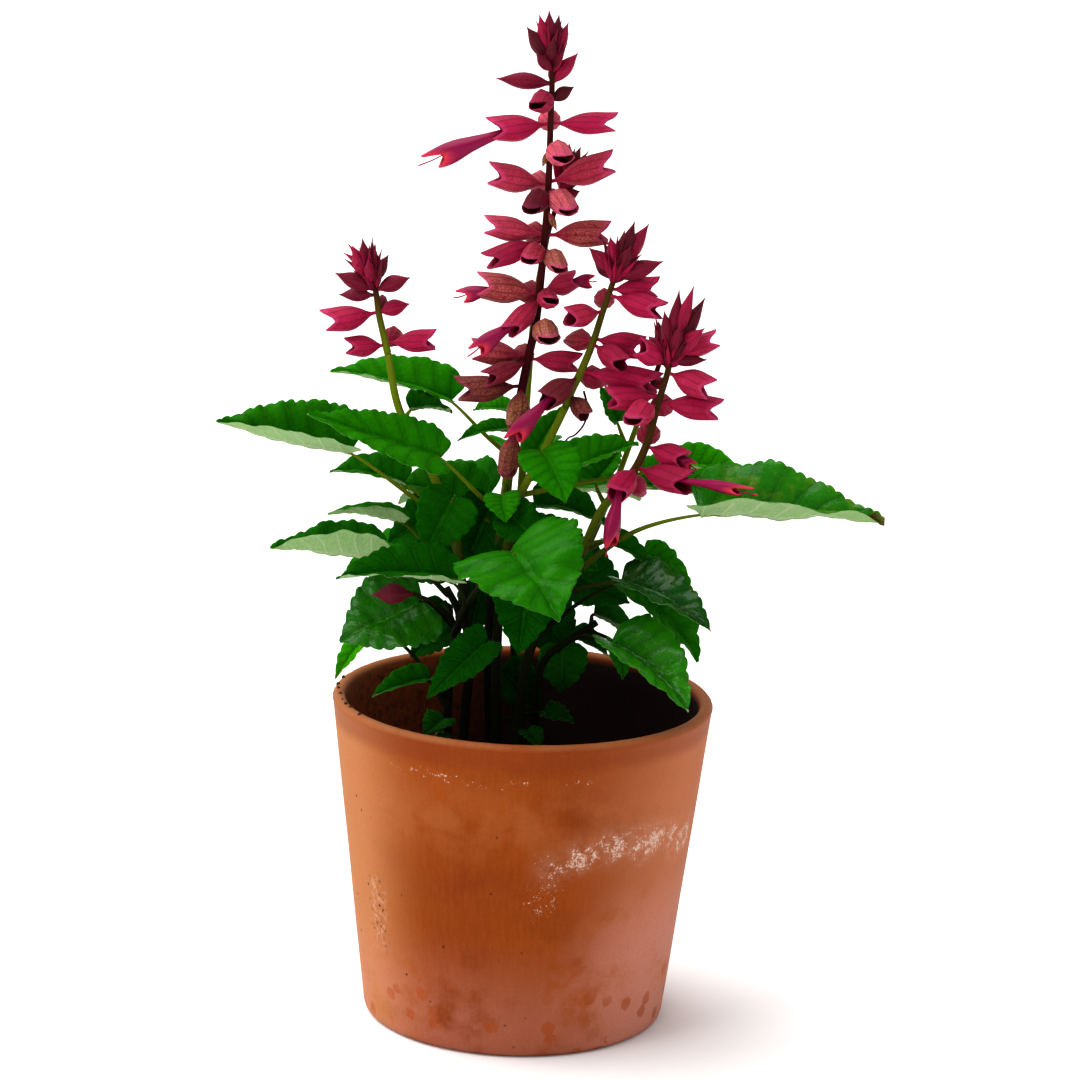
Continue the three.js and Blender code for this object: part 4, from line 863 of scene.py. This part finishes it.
# %% calyx material
calyx_velvet, shader, where = new_material("velvet calyx")
uv = leaf_uv()
tone, age, under = paint("tone"), paint("age"), paint("under")
parts = parts_of(uv)
ten_turns = 62.832
rib = ramp(scaled(calc("COSINE", times(parts["X"], ten_turns)), 0.5, 0.5), 0.72, 1.0)
nerve = ramp(spots(where, 900.0, "DISTANCE_TO_EDGE"), 0.12, 0.02)
blotch = noise(where, 260.0, 4.0)
shaded = mix(blotch, rgb(56, 0, 12), rgb(104, 0, 30))
middle = mix(blotch, rgb(146, 0, 46), rgb(190, 14, 84))
lit = mix(blotch, rgb(196, 48, 96), rgb(226, 112, 120))
velvet = mix(ramp(tone, 0.0, 0.45), shaded, middle)
velvet = mix(ramp(tone, 0.5, 1.0), velvet, lit)
velvet = mix(times(rib, 0.32), velvet, rgb(70, 0, 20))
papery = mix(blotch, rgb(120, 62, 38), rgb(188, 140, 88))
papery = mix(most(times(rib, 0.7), nerve), papery, rgb(86, 44, 28))
dried = times(age, ramp(plus(parts["Y"], times(blotch, 0.4)), 0.2, 0.75))
velvet = mix(dried, velvet, papery)
velvet = mix(times(nerve, 0.2), velvet, rgb(60, 0, 16))
# A paler rose margin at the mouth: partly the cup's own edge colour, partly painted light, as it is
# stronger on the lit cups.
margin = times(ramp(parts["Y"], 0.86, 0.98), ramp(tone, 0.2, 0.7, 0.1, 0.5))
velvet = mix(margin, velvet, rgb(206, 70, 124))
# Painted shade: the inner wall of the cup is darkened towards near-black maroon.
velvet = mix(times(under, 0.75), velvet, rgb(44, 0, 12))
relief = plus(plus(rib, times(nerve, 0.4)), noise(where, 1800.0, 2.0))
set_inputs(shader, {"Base Color": velvet, "Normal": bump(relief, 0.45, 0.0004), "Roughness": 0.62,
                    "Sheen Weight": 0.08, "Specular IOR Level": 0.25, "Sheen Roughness": 0.35,
                    "Sheen Tint": rgb(255, 170, 180), "Subsurface Weight": 0.2,
                    "Subsurface Radius": (0.9, 0.2, 0.2), "Subsurface Scale": 0.0012})
print(calyx_velvet.name, "nodes:", len(tree.nodes))

# %% [markdown]
# Petals are thin and saturated: magenta along the tube, coral red at the lips, with streaks that
# run lengthwise. They are drawn as the stem's fibres are, on the flower's own UV map.

# %% petal material
petal_red, shader, where = new_material("salvia petal")
uv = leaf_uv()
tone, age, under = paint("tone"), paint("age"), paint("under")
parts = parts_of(uv)
streaks = noise(stretch(uv, (30.0, 3.0, 1.0)), 2.0, 3.0)
tube = mix(tone, rgb(132, 0, 70), rgb(142, 0, 54))
lips = mix(streaks, rgb(176, 0, 46), rgb(214, 60, 84))
petal = mix(ramp(parts["Y"], 0.8, 1.0), tube, lips)
petal = mix(ramp(streaks, 0.5, 0.75, 0.0, 0.5), petal, rgb(150, 0, 52))
# Painted shade: the inner wall of the flower is darkened.
petal = mix(times(under, 0.5), petal, rgb(130, 0, 40))
petal = mix(age, petal, rgb(70, 30, 30))
set_inputs(shader, {"Base Color": petal, "Normal": bump(streaks, 0.3, 0.0003), "Roughness": 0.45,
                    "Specular IOR Level": 0.25, "Subsurface Weight": 0.15,
                    "Subsurface Radius": (1.0, 0.2, 0.3), "Subsurface Scale": 0.0015})
print(petal_red.name, "nodes:", len(tree.nodes))

# %% [markdown]
# The pot is plain pressed terracotta: a straight taper, a rounded lip and three drain holes.
# It is turned as one profile. The wall of a real one isn't perfect, so the radius wanders by a
# tenth of a millimetre, and the lip is slightly chipped.

# %% pot
RIM_RADIUS, FOOT_RADIUS, POT_HEIGHT, WALL, FLOOR = 70.0, 55.5, 121.0, 5.0, 6.0
DRAIN_RING, DRAIN_RADIUS = 26, 4.5


def outer(z):
    return FOOT_RADIUS + (RIM_RADIUS - FOOT_RADIUS) * z / POT_HEIGHT


def turn_profile(name, profile, segments, material, wander=None, lumps=()):
    turn = np.linspace(0, 2 * np.pi, segments, endpoint=False)
    rings = []
    for radius, height in profile:
        level = np.full(segments, float(height))
        ring = np.stack([radius * np.cos(turn), radius * np.sin(turn), level], 1)
        rings.append(ring if wander is None else wander(ring, radius, height))
    points = np.vstack(rings + [[[0, 0, profile[0][1]]], [[0, 0, profile[-1][1]]]])
    out = Surfaces()
    out.add(points, tube_faces(len(profile), segments), np.zeros((len(points), 2)), 0)
    for low, high, size in lumps:
        bar(out, [low, high], [size, size * 0.6], 0, sides=6, spacing=0.5)
    return out.build(name, [material])


def clay_wander(ring, radius, height):
    if radius < 30:
        return ring
    x, y = ring[:, 0], ring[:, 1]
    angle = np.arctan2(y, x)
    wave = 0.09 * np.sin(3 * angle + 0.02 * height) + 0.05 * np.sin(11 * angle + 0.11 * height)
    lip = np.exp(-((height - 120.2) / 1.4) ** 2)
    chip = lip * (0.10 * np.sin(23 * angle) * np.sin(7 * angle + 1) + 0.06 * np.sin(57 * angle))
    scale = 1 + (wave * 0.8 - np.abs(chip)) / radius
    return np.stack([x * scale, y * scale, ring[:, 2] - np.abs(chip) * 1.2], 1)


def pot_profile():
    edge, lip = 52.5, RIM_RADIUS - WALL / 2
    rows = [(radius, 0) for radius in (2, 18, 36, 48, edge)]
    for a in np.radians([30, 60, 90]):
        rows.append((edge + (outer(3) - edge) * math.sin(a), 3 - 3 * math.cos(a)))
    rows += [(outer(z), z) for z in np.linspace(6, 118, 38)]
    for a in np.radians(np.linspace(5, 175, 13)):
        rows.append((lip + 2.42 * math.cos(a), 118.5 + 2.5 * math.sin(a)))
    rows += [(outer(z) - WALL, z) for z in np.linspace(116, 10, 27)]
    rows += [(outer(8) - WALL - 1.2, 7.6), (outer(FLOOR) - WALL - 3, FLOOR)]
    return rows + [(radius, FLOOR) for radius in (40, 20, 2)]


def drill_floor(thing, centres, radius):
    """Cuts a plain drain hole at each centre and keeps the result as a plain mesh."""
    drills = []
    for x, y in centres:
        bpy.ops.mesh.primitive_cylinder_add(vertices=32, radius=radius * MM, depth=40 * MM,
                                            location=(x * MM, y * MM, 0))
        drill = bpy.context.object
        cut = thing.modifiers.new("drain", "BOOLEAN")
        cut.object, cut.operation, cut.solver = drill, "DIFFERENCE", "EXACT"
        drills.append(drill)
    bpy.context.view_layer.update()
    cut_mesh = bpy.data.meshes.new_from_object(thing.evaluated_get(bpy.context.evaluated_depsgraph_get()))
    thing.modifiers.clear()
    thing.data = cut_mesh
    for drill in drills:
        bpy.data.objects.remove(drill)


def soften(thing, degrees):
    """Smooth shading, except over edges sharper than the angle."""
    thing.data.polygons.foreach_set("use_smooth", [True] * len(thing.data.polygons))
    thing.data.set_sharp_from_angle(angle=math.radians(degrees))


print("pot profile:", len(pot_profile()), "rings, rim", 2 * RIM_RADIUS, "mm, height", POT_HEIGHT, "mm")

# %% [markdown]
# Years of watering show on the clay. Salts dry out as a white speckled band on one side, a strip
# under the rim stays darker, dust pales the clay below it, the lower third blooms pink with
# orange drips, and grit has left small pits. Each mark is one mask over the height and the angle
# round the pot, with its edge broken up by noise. A painted image would do too, but masks need
# no unwrapping and stay sharp from close by.

# %% terracotta material
clay, shader, where = new_material("weathered terracotta")
parts = parts_of(where)
height = times(parts["Z"], 1000.0)
around = calc("ARCTAN2", parts["X"], times(parts["Y"], -1.0))
large = noise(where, 18.0, 3.0)
cloud = noise(where, 60.0, 6.0, 0.6)
fine = noise(where, 1350.0, 2.0, 0.7)
grit = noise(where, 420.0, 5.0, 0.65)
wobbly = plus(height, scaled(cloud, 16.0, -8.0))


def zone(value, low, high, soft):
    """A soft-edged window: 1 between low and high, 0 outside."""
    rising = ramp(value, low - soft, low + soft)
    return times(rising, ramp(value, high + soft, high - soft))


body = mix(ramp(large, 0.3, 0.7), rgb(122, 50, 0), rgb(150, 70, 6))
body = mix(ramp(cloud, 0.3, 0.7), body, rgb(136, 62, 2))
# The angle jumps at the back of the pot, so a mark that uses it has to fade out by there. All do
# but one: the drop in the bloom's height, in sunk, isn't multiplied by front, and so it leaves an
# upright edge in the bloom at the back.
front = ramp(calc("ABSOLUTE", around), 2.9, 1.7)
# Painted light: the left and right sides of the pot are painted lighter than the front, as if lit from the
# sides.
left_light = times(ramp(around, -0.5, -1.1), front)
right_light = times(ramp(around, 0.2, 1.1), front)
body = mix(times(left_light, 0.85), body, rgb(184, 122, 76))
dusty = times(zone(wobbly, 82.0, 104.0, 10.0), ramp(cloud, 0.36, 0.62), front)
body = mix(times(dusty, 0.3), body, rgb(182, 112, 68))
body = mix(times(right_light, 0.85), body, rgb(192, 118, 80))
runs = noise(stretch(where, (1.0, 1.0, 0.05)), 900.0, 4.0)
body = mix(ramp(runs, 0.35, 0.8, 0.0, 0.14), body, rgb(176, 96, 40))
band = zone(plus(height, scaled(cloud, 3.0, -1.5)), 111.5, 130.0, 3.0)
body = mix(times(band, 0.5), body, rgb(126, 50, 0))
# The pink bloom is the clay's own colour, but it reaches higher and is stronger on the right, following the
# painted light there.
sunk = plus(wobbly, times(ramp(around, 0.1, 0.7), -26.0))
bloom = times(ramp(sunk, 50.0, 10.0), ramp(cloud, 0.25, 0.55), scaled(right_light, 0.6, 0.4))
body = mix(times(bloom, 0.76), body, rgb(200, 136, 120))
drip_edge = plus(spots(where, 105.0), scaled(grit, 0.4, -0.2))
drip = times(ramp(drip_edge, 0.30, 0.24), ramp(wobbly, 30.0, 16.0), ramp(large, 0.38, 0.5))
body = mix(times(drip, 0.6), body, rgb(158, 72, 16))
print("clay tones, bloom and drips:", len(tree.nodes), "nodes")

# %% salt, crust and pits
salt_height = plus(height, times(ramp(around, 0.02, 0.6), -7.0))
salt_height = plus(salt_height, times(ramp(around, 0.85, 1.3), 5.0))
salt_height = plus(salt_height, scaled(cloud, 16.0, -8.0))
patchy = ramp(noise(where, 170.0, 4.0, 0.7), 0.36, 0.6, 0.25, 1.0)
streak = times(zone(salt_height, 67.0, 80.0, 6.0), zone(around, 0.12, 1.34, 0.1), patchy)
patch = times(zone(salt_height, 54.0, 80.0, 9.0), zone(around, 0.02, 0.3, 0.18),
              ramp(cloud, 0.3, 0.55, 0.5, 1.0))
salt = most(streak, times(patch, 0.72))
ring = times(zone(wobbly, 105.5, 109.5, 2.2), zone(around, -0.85, 0.5, 0.15))
salt = most(salt, times(ring, patchy, 0.7))
dots = plus(times(fine, 0.6), times(grit, 0.4))
needed = scaled(salt, -0.262, 0.70)
specks = ramp(minus(dots, needed), 0.0, 0.07)
white = most(times(specks, ramp(salt, 0.1, 0.5)), times(streak, 0.2))
crust_zone = times(zone(height, 33.0, 60.0, 4.0), zone(around, -1.03, -0.87, 0.05))
crust = times(crust_zone, ramp(grit, 0.5, 0.6))
white = most(white, times(crust, 0.26))
body = mix(times(white, 0.76), body, rgb(228, 198, 182))
left_low = times(ramp(around, 0.6, -0.6), ramp(height, 112.0, 90.0), front)
pit = times(ramp(spots(where, 130.0), 0.085, 0.05), ramp(cloud, 0.44, 0.52), left_low)
pit = most(pit, times(ramp(spots(where, 420.0), 0.30, 0.20), crust_zone, ramp(grit, 0.54, 0.47)))
body = mix(times(pit, 0.85), body, rgb(40, 22, 14))
print("with salt, crust and pits:", len(tree.nodes), "nodes")

# %% lip, inside and finish
# Painted light: the top of the lip is painted paler, as lit from above.
lip = ramp(height, 118.5, 120.6)
body = mix(times(lip, ramp(cloud, 0.3, 0.6, 0.25, 0.7)), body, rgb(158, 102, 62))
radius = calc("SQRT", plus(times(parts["X"], parts["X"]), times(parts["Y"], parts["Y"])))
wall_edge = minus(times(radius, 1000.0), scaled(height, 0.1198, 52.2))
inside = times(ramp(wall_edge, 0.6, -0.4), ramp(height, 120.0, 116.5))
# Painted shade: inside the pot the wall is red brown on the left and near black on the right, where the
# leaves shade it, and noise adds darker damp stains.
damp = mix(ramp(parts["X"], -0.06, 0.0), rgb(146, 72, 32), rgb(26, 8, 3))
damp = mix(ramp(grit, 0.45, 0.65, 0.0, 0.6), damp, rgb(36, 16, 10))
body = mix(inside, body, damp)
body = mix(ramp(fine, 0.3, 0.8, 0.0, 0.14), body, rgb(110, 60, 36), "MULTIPLY")
relief = plus(times(fine, 0.25), times(grit, 0.45))
relief = minus(plus(relief, times(white, 0.3)), times(pit, 1.4))
rough = plus(scaled(band, -0.12, 0.74), times(white, 0.2))
set_inputs(shader, {"Base Color": body, "Normal": bump(relief, 0.4, 0.0005), "Roughness": rough,
                    "Specular IOR Level": 0.16})
print(clay.name, "nodes:", len(tree.nodes))

pot = turn_profile("clay_pot", pot_profile(), 144, clay, clay_wander)
drain_turns = [2 * math.pi * (i + 0.25) / 3 for i in range(3)]
drill_floor(pot, [(DRAIN_RING * math.cos(a), DRAIN_RING * math.sin(a)) for a in drain_turns], DRAIN_RADIUS)
soften(pot, 40)
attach(pot, "root")
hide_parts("pot")
print("pot faces:", len(pot.data.polygons))

# %% [markdown]
# The soil is a dark crumbly fill with a hole where each stem goes in, and a few crumbs have
# dried on to the lip of the pot. Loose crumbs are one small lump that Geometry Nodes scatter over
# the fill, because it repeats thousands of times. The result is then turned into a plain mesh.

# %% soil
SOIL_LEVEL, HOLE_LEVEL, HOLE_ROOM = 83.0, 73.8, 0.8
LIP_TOP = 120.85
earth, shader, where = new_material("damp crumbly soil")
lumps = noise(where, 240.0, 6.0, 0.65)
soil_colour = mix(lumps, rgb(24, 14, 9), rgb(82, 56, 38))
fleck = ramp(noise(where, 800.0, 2.0), 0.68, 0.74)
soil_colour = mix(times(fleck, 0.7), soil_colour, rgb(150, 122, 92))
set_inputs(shader, {"Base Color": soil_colour, "Normal": bump(lumps, 0.8, 0.0015), "Roughness": 0.95})

stem_feet = [(entry["bars"][0]["route"][0][:2], entry["bars"][0]["radii"][0]) for entry in STEMS.values()]
soil_random = np.random.default_rng(7)
soil_waves = [(soil_random.uniform(0.25, 1.4), soil_random.uniform(0, 6.28), soil_random.uniform(0, 6.28))
              for _ in range(24)]


def soil_height(x, y):
    mounds = np.sin(0.23 * x + 1) * np.cos(0.19 * y) + 0.6 * np.sin(0.31 * (x - y))
    fine = sum(np.sin(k * (x * math.cos(a) + y * math.sin(a)) + p) for k, a, p in soil_waves) / 8
    z = SOIL_LEVEL + 1.1 * mounds + 0.5 * fine
    for (sx, sy), foot in stem_feet:
        apart = np.hypot(x - sx, y - sy)
        z = np.where(apart < foot + HOLE_ROOM, HOLE_LEVEL, z)
    return z


def soil_surface(ring, radius, height):
    if height < SOIL_LEVEL - 1:
        return ring
    edge = np.clip((58.5 - radius) / 5, 0, 1)
    z = soil_height(ring[:, 0], ring[:, 1])
    return np.stack([ring[:, 0], ring[:, 1], SOIL_LEVEL + (z - SOIL_LEVEL) * edge], 1)


def fill_profile():
    inner = [(outer(z) - WALL - 0.4, z) for z in np.linspace(10, SOIL_LEVEL, 8)]
    top = [(r, SOIL_LEVEL) for r in np.linspace(inner[-1][0] - 0.9, 1, 62)]
    return [(2, 6.4), (26, 6.4), (inner[0][0] - 3, 6.4)] + inner + top


spilled = []
for degrees_round in (168, 176, 181, 187, 194, 199, 203, 211):
    a, low = math.radians(degrees_round), soil_random.uniform(66.4, 68.6)
    spot = np.array([low * math.cos(a), low * math.sin(a), LIP_TOP])
    spilled.append((spot, spot + soil_random.uniform(-0.7, 0.7, 3) * [1, 1, 0.1] + [0, 0, 0.5],
                    soil_random.uniform(0.4, 0.9)))
soil = turn_profile("soil_fill", fill_profile(), 150, earth, soil_surface, spilled)
print("soil profile:", len(fill_profile()), "rings, crumbs on the lip:", len(spilled))

# %% crumbs
CRUMB_SIZES = {"Crumbs per area": 260000.0, "Smallest": 0.25, "Largest": 1.1, "Lump size": 0.0011}
CRUMB_SEED, CRUMB_SHIFT, CRUMB_BAND = 4, 0.0003, 0.0025
tree = bpy.data.node_groups.new("scatter crumbs", "GeometryNodeTree")
face = tree.interface
face.new_socket("Geometry", in_out="INPUT", socket_type="NodeSocketGeometry")
for label, value in CRUMB_SIZES.items():
    face.new_socket(label, in_out="INPUT", socket_type="NodeSocketFloat").default_value = value
face.new_socket("Seed", in_out="INPUT", socket_type="NodeSocketInt").default_value = CRUMB_SEED
face.new_socket("Crumb material", in_out="INPUT", socket_type="NodeSocketMaterial")
face.new_socket("Geometry", in_out="OUTPUT", socket_type="NodeSocketGeometry")
given = tree.nodes.new("NodeGroupInput").outputs
crumb = add_node("GeometryNodeMeshIcoSphere", {"Radius": given["Lump size"], "Subdivisions": 1})
shift = add_node("FunctionNodeRandomValue", {0: (-CRUMB_SHIFT,) * 3, 1: (CRUMB_SHIFT,) * 3},
                 data_type="FLOAT_VECTOR")
crumb = add_node("GeometryNodeSetPosition", {"Geometry": crumb.outputs["Mesh"], "Offset": shift.outputs[0]})
place = tree.nodes.new("GeometryNodeInputPosition").outputs[0]
from_level = calc("ABSOLUTE", minus(parts_of(place)["Z"], SOIL_LEVEL * MM))
on_top = add_node("FunctionNodeCompare", {0: from_level, 1: CRUMB_BAND}, operation="LESS_THAN").outputs[0]
spread = add_node("GeometryNodeDistributePointsOnFaces",
                  {"Mesh": given["Geometry"], "Selection": on_top, "Density": given["Crumbs per area"],
                   "Seed": given["Seed"]})
turns = add_node("FunctionNodeRandomValue", {"Seed": given["Seed"], 1: (6.28,) * 3},
                 data_type="FLOAT_VECTOR")
sizes = add_node("FunctionNodeRandomValue",
                 {2: given["Smallest"], 3: given["Largest"], "Seed": given["Seed"]}, data_type="FLOAT")
placed = add_node("GeometryNodeInstanceOnPoints",
                  {"Points": spread.outputs["Points"], "Instance": crumb.outputs[0],
                   "Rotation": turns.outputs[0], "Scale": sizes.outputs[1]})
real = add_node("GeometryNodeRealizeInstances", {"Geometry": placed.outputs[0]}).outputs[0]
joined = tree.nodes.new("GeometryNodeJoinGeometry")
for part in (real, given["Geometry"]):
    tree.links.new(part, joined.inputs[0])
painted = add_node("GeometryNodeSetMaterial",
                   {"Geometry": joined.outputs[0], "Material": given["Crumb material"]}).outputs[0]
tree.links.new(painted, tree.nodes.new("NodeGroupOutput").inputs[0])
scatter = soil.modifiers.new("crumbs", "NODES")
scatter.node_group = tree
sockets = {item.name: item.identifier for item in face.items_tree if item.in_out == "INPUT"}
scatter[sockets["Crumb material"]] = earth
bpy.context.view_layer.update()
crumbled = bpy.data.meshes.new_from_object(soil.evaluated_get(bpy.context.evaluated_depsgraph_get()))
soil.modifiers.clear()
soil.data = crumbled
soften(soil, 50)
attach(soil, "root")
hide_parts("soil")
print("soil faces:", len(soil.data.polygons))

# %% [markdown]
# Each leafy stem is one piece: its bars, the petiole of each leaf, and the blades. The petiole
# runs from the stem into the first stretch of the midrib, a little under the blade, so leaf and
# stem read as grown together. The leaves of one stem each have their own seed, so no two of
# them are quite alike.

# %% leafy stems
PETIOLE_SINK, PETIOLE_INTO, PETIOLE_END = 0.25, 0.12, 0.4


def share_point(base, length, along, up, arch, t):
    return base + along * (t * length) + up * (4 * arch * length * t * (1 - t))


def grow_stem(name, entry):
    out = Surfaces()
    for row in entry["bars"]:
        bar(out, row["route"], row["radii"], 1, sides=16, square=0.05, tones=row.get("tones", (0.0, 0.0)))
    for number, row in enumerate(entry["leaves"]):
        arch = row.get("arch", 0.06)
        base, length, along, up, _ = leaf_frame(row["base"], row["tip"], row.get("face"))
        ends = [share_point(base, length, along, up, arch, t) - up * PETIOLE_SINK
                for t in (0, PETIOLE_INTO)]
        route = [row["root"]] + ([row["via"]] if "via" in row else []) + ends
        thick = row.get("petiole", 1.0)
        bar(out, route, [thick * 1.1, PETIOLE_END], 1, sides=10)
        leaf(out, row["base"], row["tip"], row["width"], row.get("face"), row.get("fold", 32),
             row.get("near"), arch, seed=len(name) * 100 + number, tone=row["tone"],
             age=row.get("age", 0.0), wet=row.get("wet", 0.3))
    thing = out.build(name + "_grown", [leaf_green, stem_green])
    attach(thing, "root")
    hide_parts(name)
    return thing


for name, entry in STEMS.items():
    grown = grow_stem(name, entry)
    print(grown.name, "leaves:", len(entry["leaves"]), "faces:", len(grown.data.polygons))

# %% [markdown]
# A spike is a stalk with whorls of calyces and a tuft of closed buds and bracts at the top. The
# foot of the stalk reaches down towards its stem, so that hardly a gap shows between the two.

# %% flower spikes
STALK_TONES = {"spike_main": (1.0, 0.95), "spike_left": (0.0, 1.3), "spike_centre": (0.12, 1.0),
               "spike_right": (0.8, 0.9)}
FOOT_REACH = 0.35
BRACTS, BRACT_TURN = 46, 2.4
TALL_BUD, SHORTER, STOUTER = 12, 0.86, 1.12


def pack_bracts(out, route, random):
    """Small pointed bracts packed round the top of a spike."""
    top, below = np.array(route[-1], float), np.array(route[-2], float)
    up = unit(top - below)
    side = unit(np.cross(up, [0.2, 1, 0.1]))
    other = np.cross(up, side)
    for number in range(BRACTS):
        turn = BRACT_TURN * number + random.uniform(-0.3, 0.3)
        away = side * math.cos(turn) + other * math.sin(turn)
        low = top - up * random.uniform(-1.0, 8.0) + away * 0.8
        ahead = unit(up + away * random.uniform(0.25, 0.9))
        bell(out, low, low + ahead * random.uniform(7, 12.5), random.uniform(2.0, 3.4), BRACT, 1,
             sides=8, squash=0.6, tone=random.uniform(0, 0.45), age=0.0)


def grow_spike(name, entry):
    random = np.random.default_rng(len(name))
    out = Surfaces()
    foot, above = np.array(entry["route"][0], float), np.array(entry["route"][1], float)
    route = [foot - unit(above - foot) * FOOT_REACH] + entry["route"][1:]
    bar(out, route, entry["radii"], 0, sides=14, square=0.06, tones=STALK_TONES.get(name, (1.0, 1.0)))
    for route in entry.get("threads", []):
        bar(out, route, [0.45, 0.3], 0, sides=6, spacing=1.0, tones=(1.0, 1.0))
    if len(entry["buds"]) > 4:
        pack_bracts(out, entry["route"], random)
    for start, end, width, *look in entry["buds"]:
        tone, age = look or (0.12 + random.uniform(-0.12, 0.2), 0.0)
        start, end = np.array(start, float), np.array(end, float)
        if end[2] - start[2] > TALL_BUD:
            end, width = start + (end - start) * SHORTER, width * STOUTER
        bell(out, start, end, width * 0.92, BUD, 1, sides=16, squash=0.85, tone=tone, age=age)
    for start, end, width, *look in entry["calyces"]:
        tone, age = look or (0.4 + random.uniform(-0.2, 0.2), random.uniform(0, 0.3))
        # A cup that looks straight out is closed by its upper lip; from the side both lips part.
        ahead = unit(np.array(end, float) - np.array(start, float))
        outward = abs(ahead[1]) > 0.7
        shut = (0.95, 0.45) if outward else (random.uniform(0.05, 0.3), random.uniform(0.15, 0.45))
        bell(out, start, end, width * random.uniform(1.0, 1.12), CALYX, 1, sides=30, squash=0.95, shut=shut,
             roll=random.uniform(-0.3, 0.3), frill=random.uniform(0.02, 0.07), tone=tone, age=age)
    thing = out.build(name + "_grown", [stem_green, calyx_velvet])
    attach(thing, "root")
    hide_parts(name)
    return thing


# Two withered bracts hang from the tall stalk, a dried style curls under the middle spike, and
# one dark bud sits low down on the left.
SPIKES["spike_main"]["buds"] += [[[2.4, -0.8, 321.5], [0.6, -3.4, 315.5], 2.4, 0.8, 1.0],
                                 [[3.4, -0.8, 299.5], [6.6, -3.4, 293], 2.6, 0.8, 1.0]]
SPIKES["spike_centre"]["threads"] = [[[18.2, -6, 236], [19.8, -8, 230], [18.7, -9, 224.5],
                                      [15.3, -11, 220.6], [13.4, -12, 220], [12.2, -12, 218.6]]]
SPIKES["bud_low_left"] = {"route": [[-40.4, -31.3, 165.1], [-42.4, -31.7, 165.1]], "radii": [0.5, 0.4],
                          "buds": [[[-40.4, -31.3, 165.1], [-55, -34, 165], 7.6, 0.05, 0.0]], "calyces": []}
for name, entry in SPIKES.items():
    grown = grow_spike(name, entry)
    print(grown.name, "cups:", len(entry["calyces"]), "faces:", len(grown.data.polygons))

# %% [markdown]
# Each open flower is one piece of its own: tube, hood and lip, with the style showing in its
# mouth. It is the same bell as the calyx, with the flower's table and a frilled edge.

# %% flowers
MOUTH_AT, STYLE_OUT, STYLE_DROP = 0.72, 0.04, 1.2
for name, (start, end, width) in COROLLAS.items():
    out = Surfaces()
    bell(out, start, end, width, FLOWER, 0, sides=30, squash=0.85, frill=0.08, tone=0.3)
    start, end = np.array(start), np.array(end)
    mouth = start + (end - start) * MOUTH_AT
    tip = end + (end - start) * STYLE_OUT - [0, 0, STYLE_DROP]
    bar(out, [mouth, (mouth + tip) / 2 - [0, 0, 0.4], tip], [0.22, 0.3], 0, sides=6, tones=(1.0, 1.0))
    flower = out.build(name + "_grown", [petal_red])
    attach(flower, "root")
    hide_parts(name)
    print(flower.name, "faces:", len(flower.data.polygons))

# %% [markdown]
# A plain studio: a white floor, a broad soft sun from the upper left, so that the shadow falls to
# the lower right, one weak disc of light in front, and an even white surround. The camera looks
# slightly down through a long lens, so the sides of the pot stay nearly straight and parallel.

# %% studio
paper, shader, where = new_material("white paper sweep")
set_inputs(shader, {"Base Color": (0.93, 0.93, 0.93, 1), "Roughness": 0.9, "Specular IOR Level": 0.1})
bpy.ops.mesh.primitive_plane_add(size=24, location=(0, 0, 0))
floor = bpy.context.object
floor.name = "paper_floor"
floor.data.materials.append(paper)

SURROUND_POWER = 0.56
world = bpy.data.worlds.new("white surround")
bpy.context.scene.world = world
world.use_nodes = True
tree = world.node_tree
set_inputs(tree.nodes["Background"], {"Color": (1, 1, 1, 1), "Strength": SURROUND_POWER})


def softbox(name, place, size, power, aim=(0, 0, 0.2)):
    lamp = bpy.data.lights.new(name, "AREA")
    lamp.shape, lamp.size, lamp.energy = "DISK", size, power
    thing = bpy.data.objects.new(name, lamp)
    bpy.context.scene.collection.objects.link(thing)
    thing.location = place
    thing.rotation_euler = (Vector(aim) - Vector(place)).to_track_quat("-Z", "Y").to_euler()


SUN_POWER, SUN_WIDTH, SUN_WAY = 2.9, 62, (0.40, -0.12, -0.90)
sky = bpy.data.lights.new("soft_sun", "SUN")
sky.energy, sky.angle = SUN_POWER, math.radians(SUN_WIDTH)
sun = bpy.data.objects.new("soft_sun", sky)
bpy.context.scene.collection.objects.link(sun)
sun.rotation_euler = Vector(SUN_WAY).to_track_quat("-Z", "Y").to_euler()
softbox("front", (-1.2, -1.0, 0.7), 0.7, 5)

# %% camera
LENS, FILM, FAR = 123.6, 36, 40
RISE, ROLL, DISTANCE, AIM = 13.2, 1.98, 1.35, (0.00435, 0, 0.1791)
camera = bpy.data.cameras.new("camera")
camera.lens, camera.sensor_width, camera.clip_end = LENS, FILM, FAR
view = bpy.data.objects.new("camera", camera)
bpy.context.scene.collection.objects.link(view)
rise, roll = math.radians(RISE), math.radians(ROLL)
back = Vector((0, -math.cos(rise), math.sin(rise)))
right = Vector((1, 0, 0))
up = right.cross(-back)
level_x = math.cos(roll) * right + math.sin(roll) * up
level_y = -math.sin(roll) * right + math.cos(roll) * up
pose = Matrix((level_x, level_y, back)).transposed().to_4x4()
pose.translation = Vector(AIM) + back * DISTANCE
view.matrix_world = pose
bpy.context.scene.camera = view
bpy.context.scene.view_settings.view_transform = "Standard"
bpy.context.scene.view_settings.look = "Medium High Contrast"
print("camera at", [round(value, 3) for value in pose.translation])
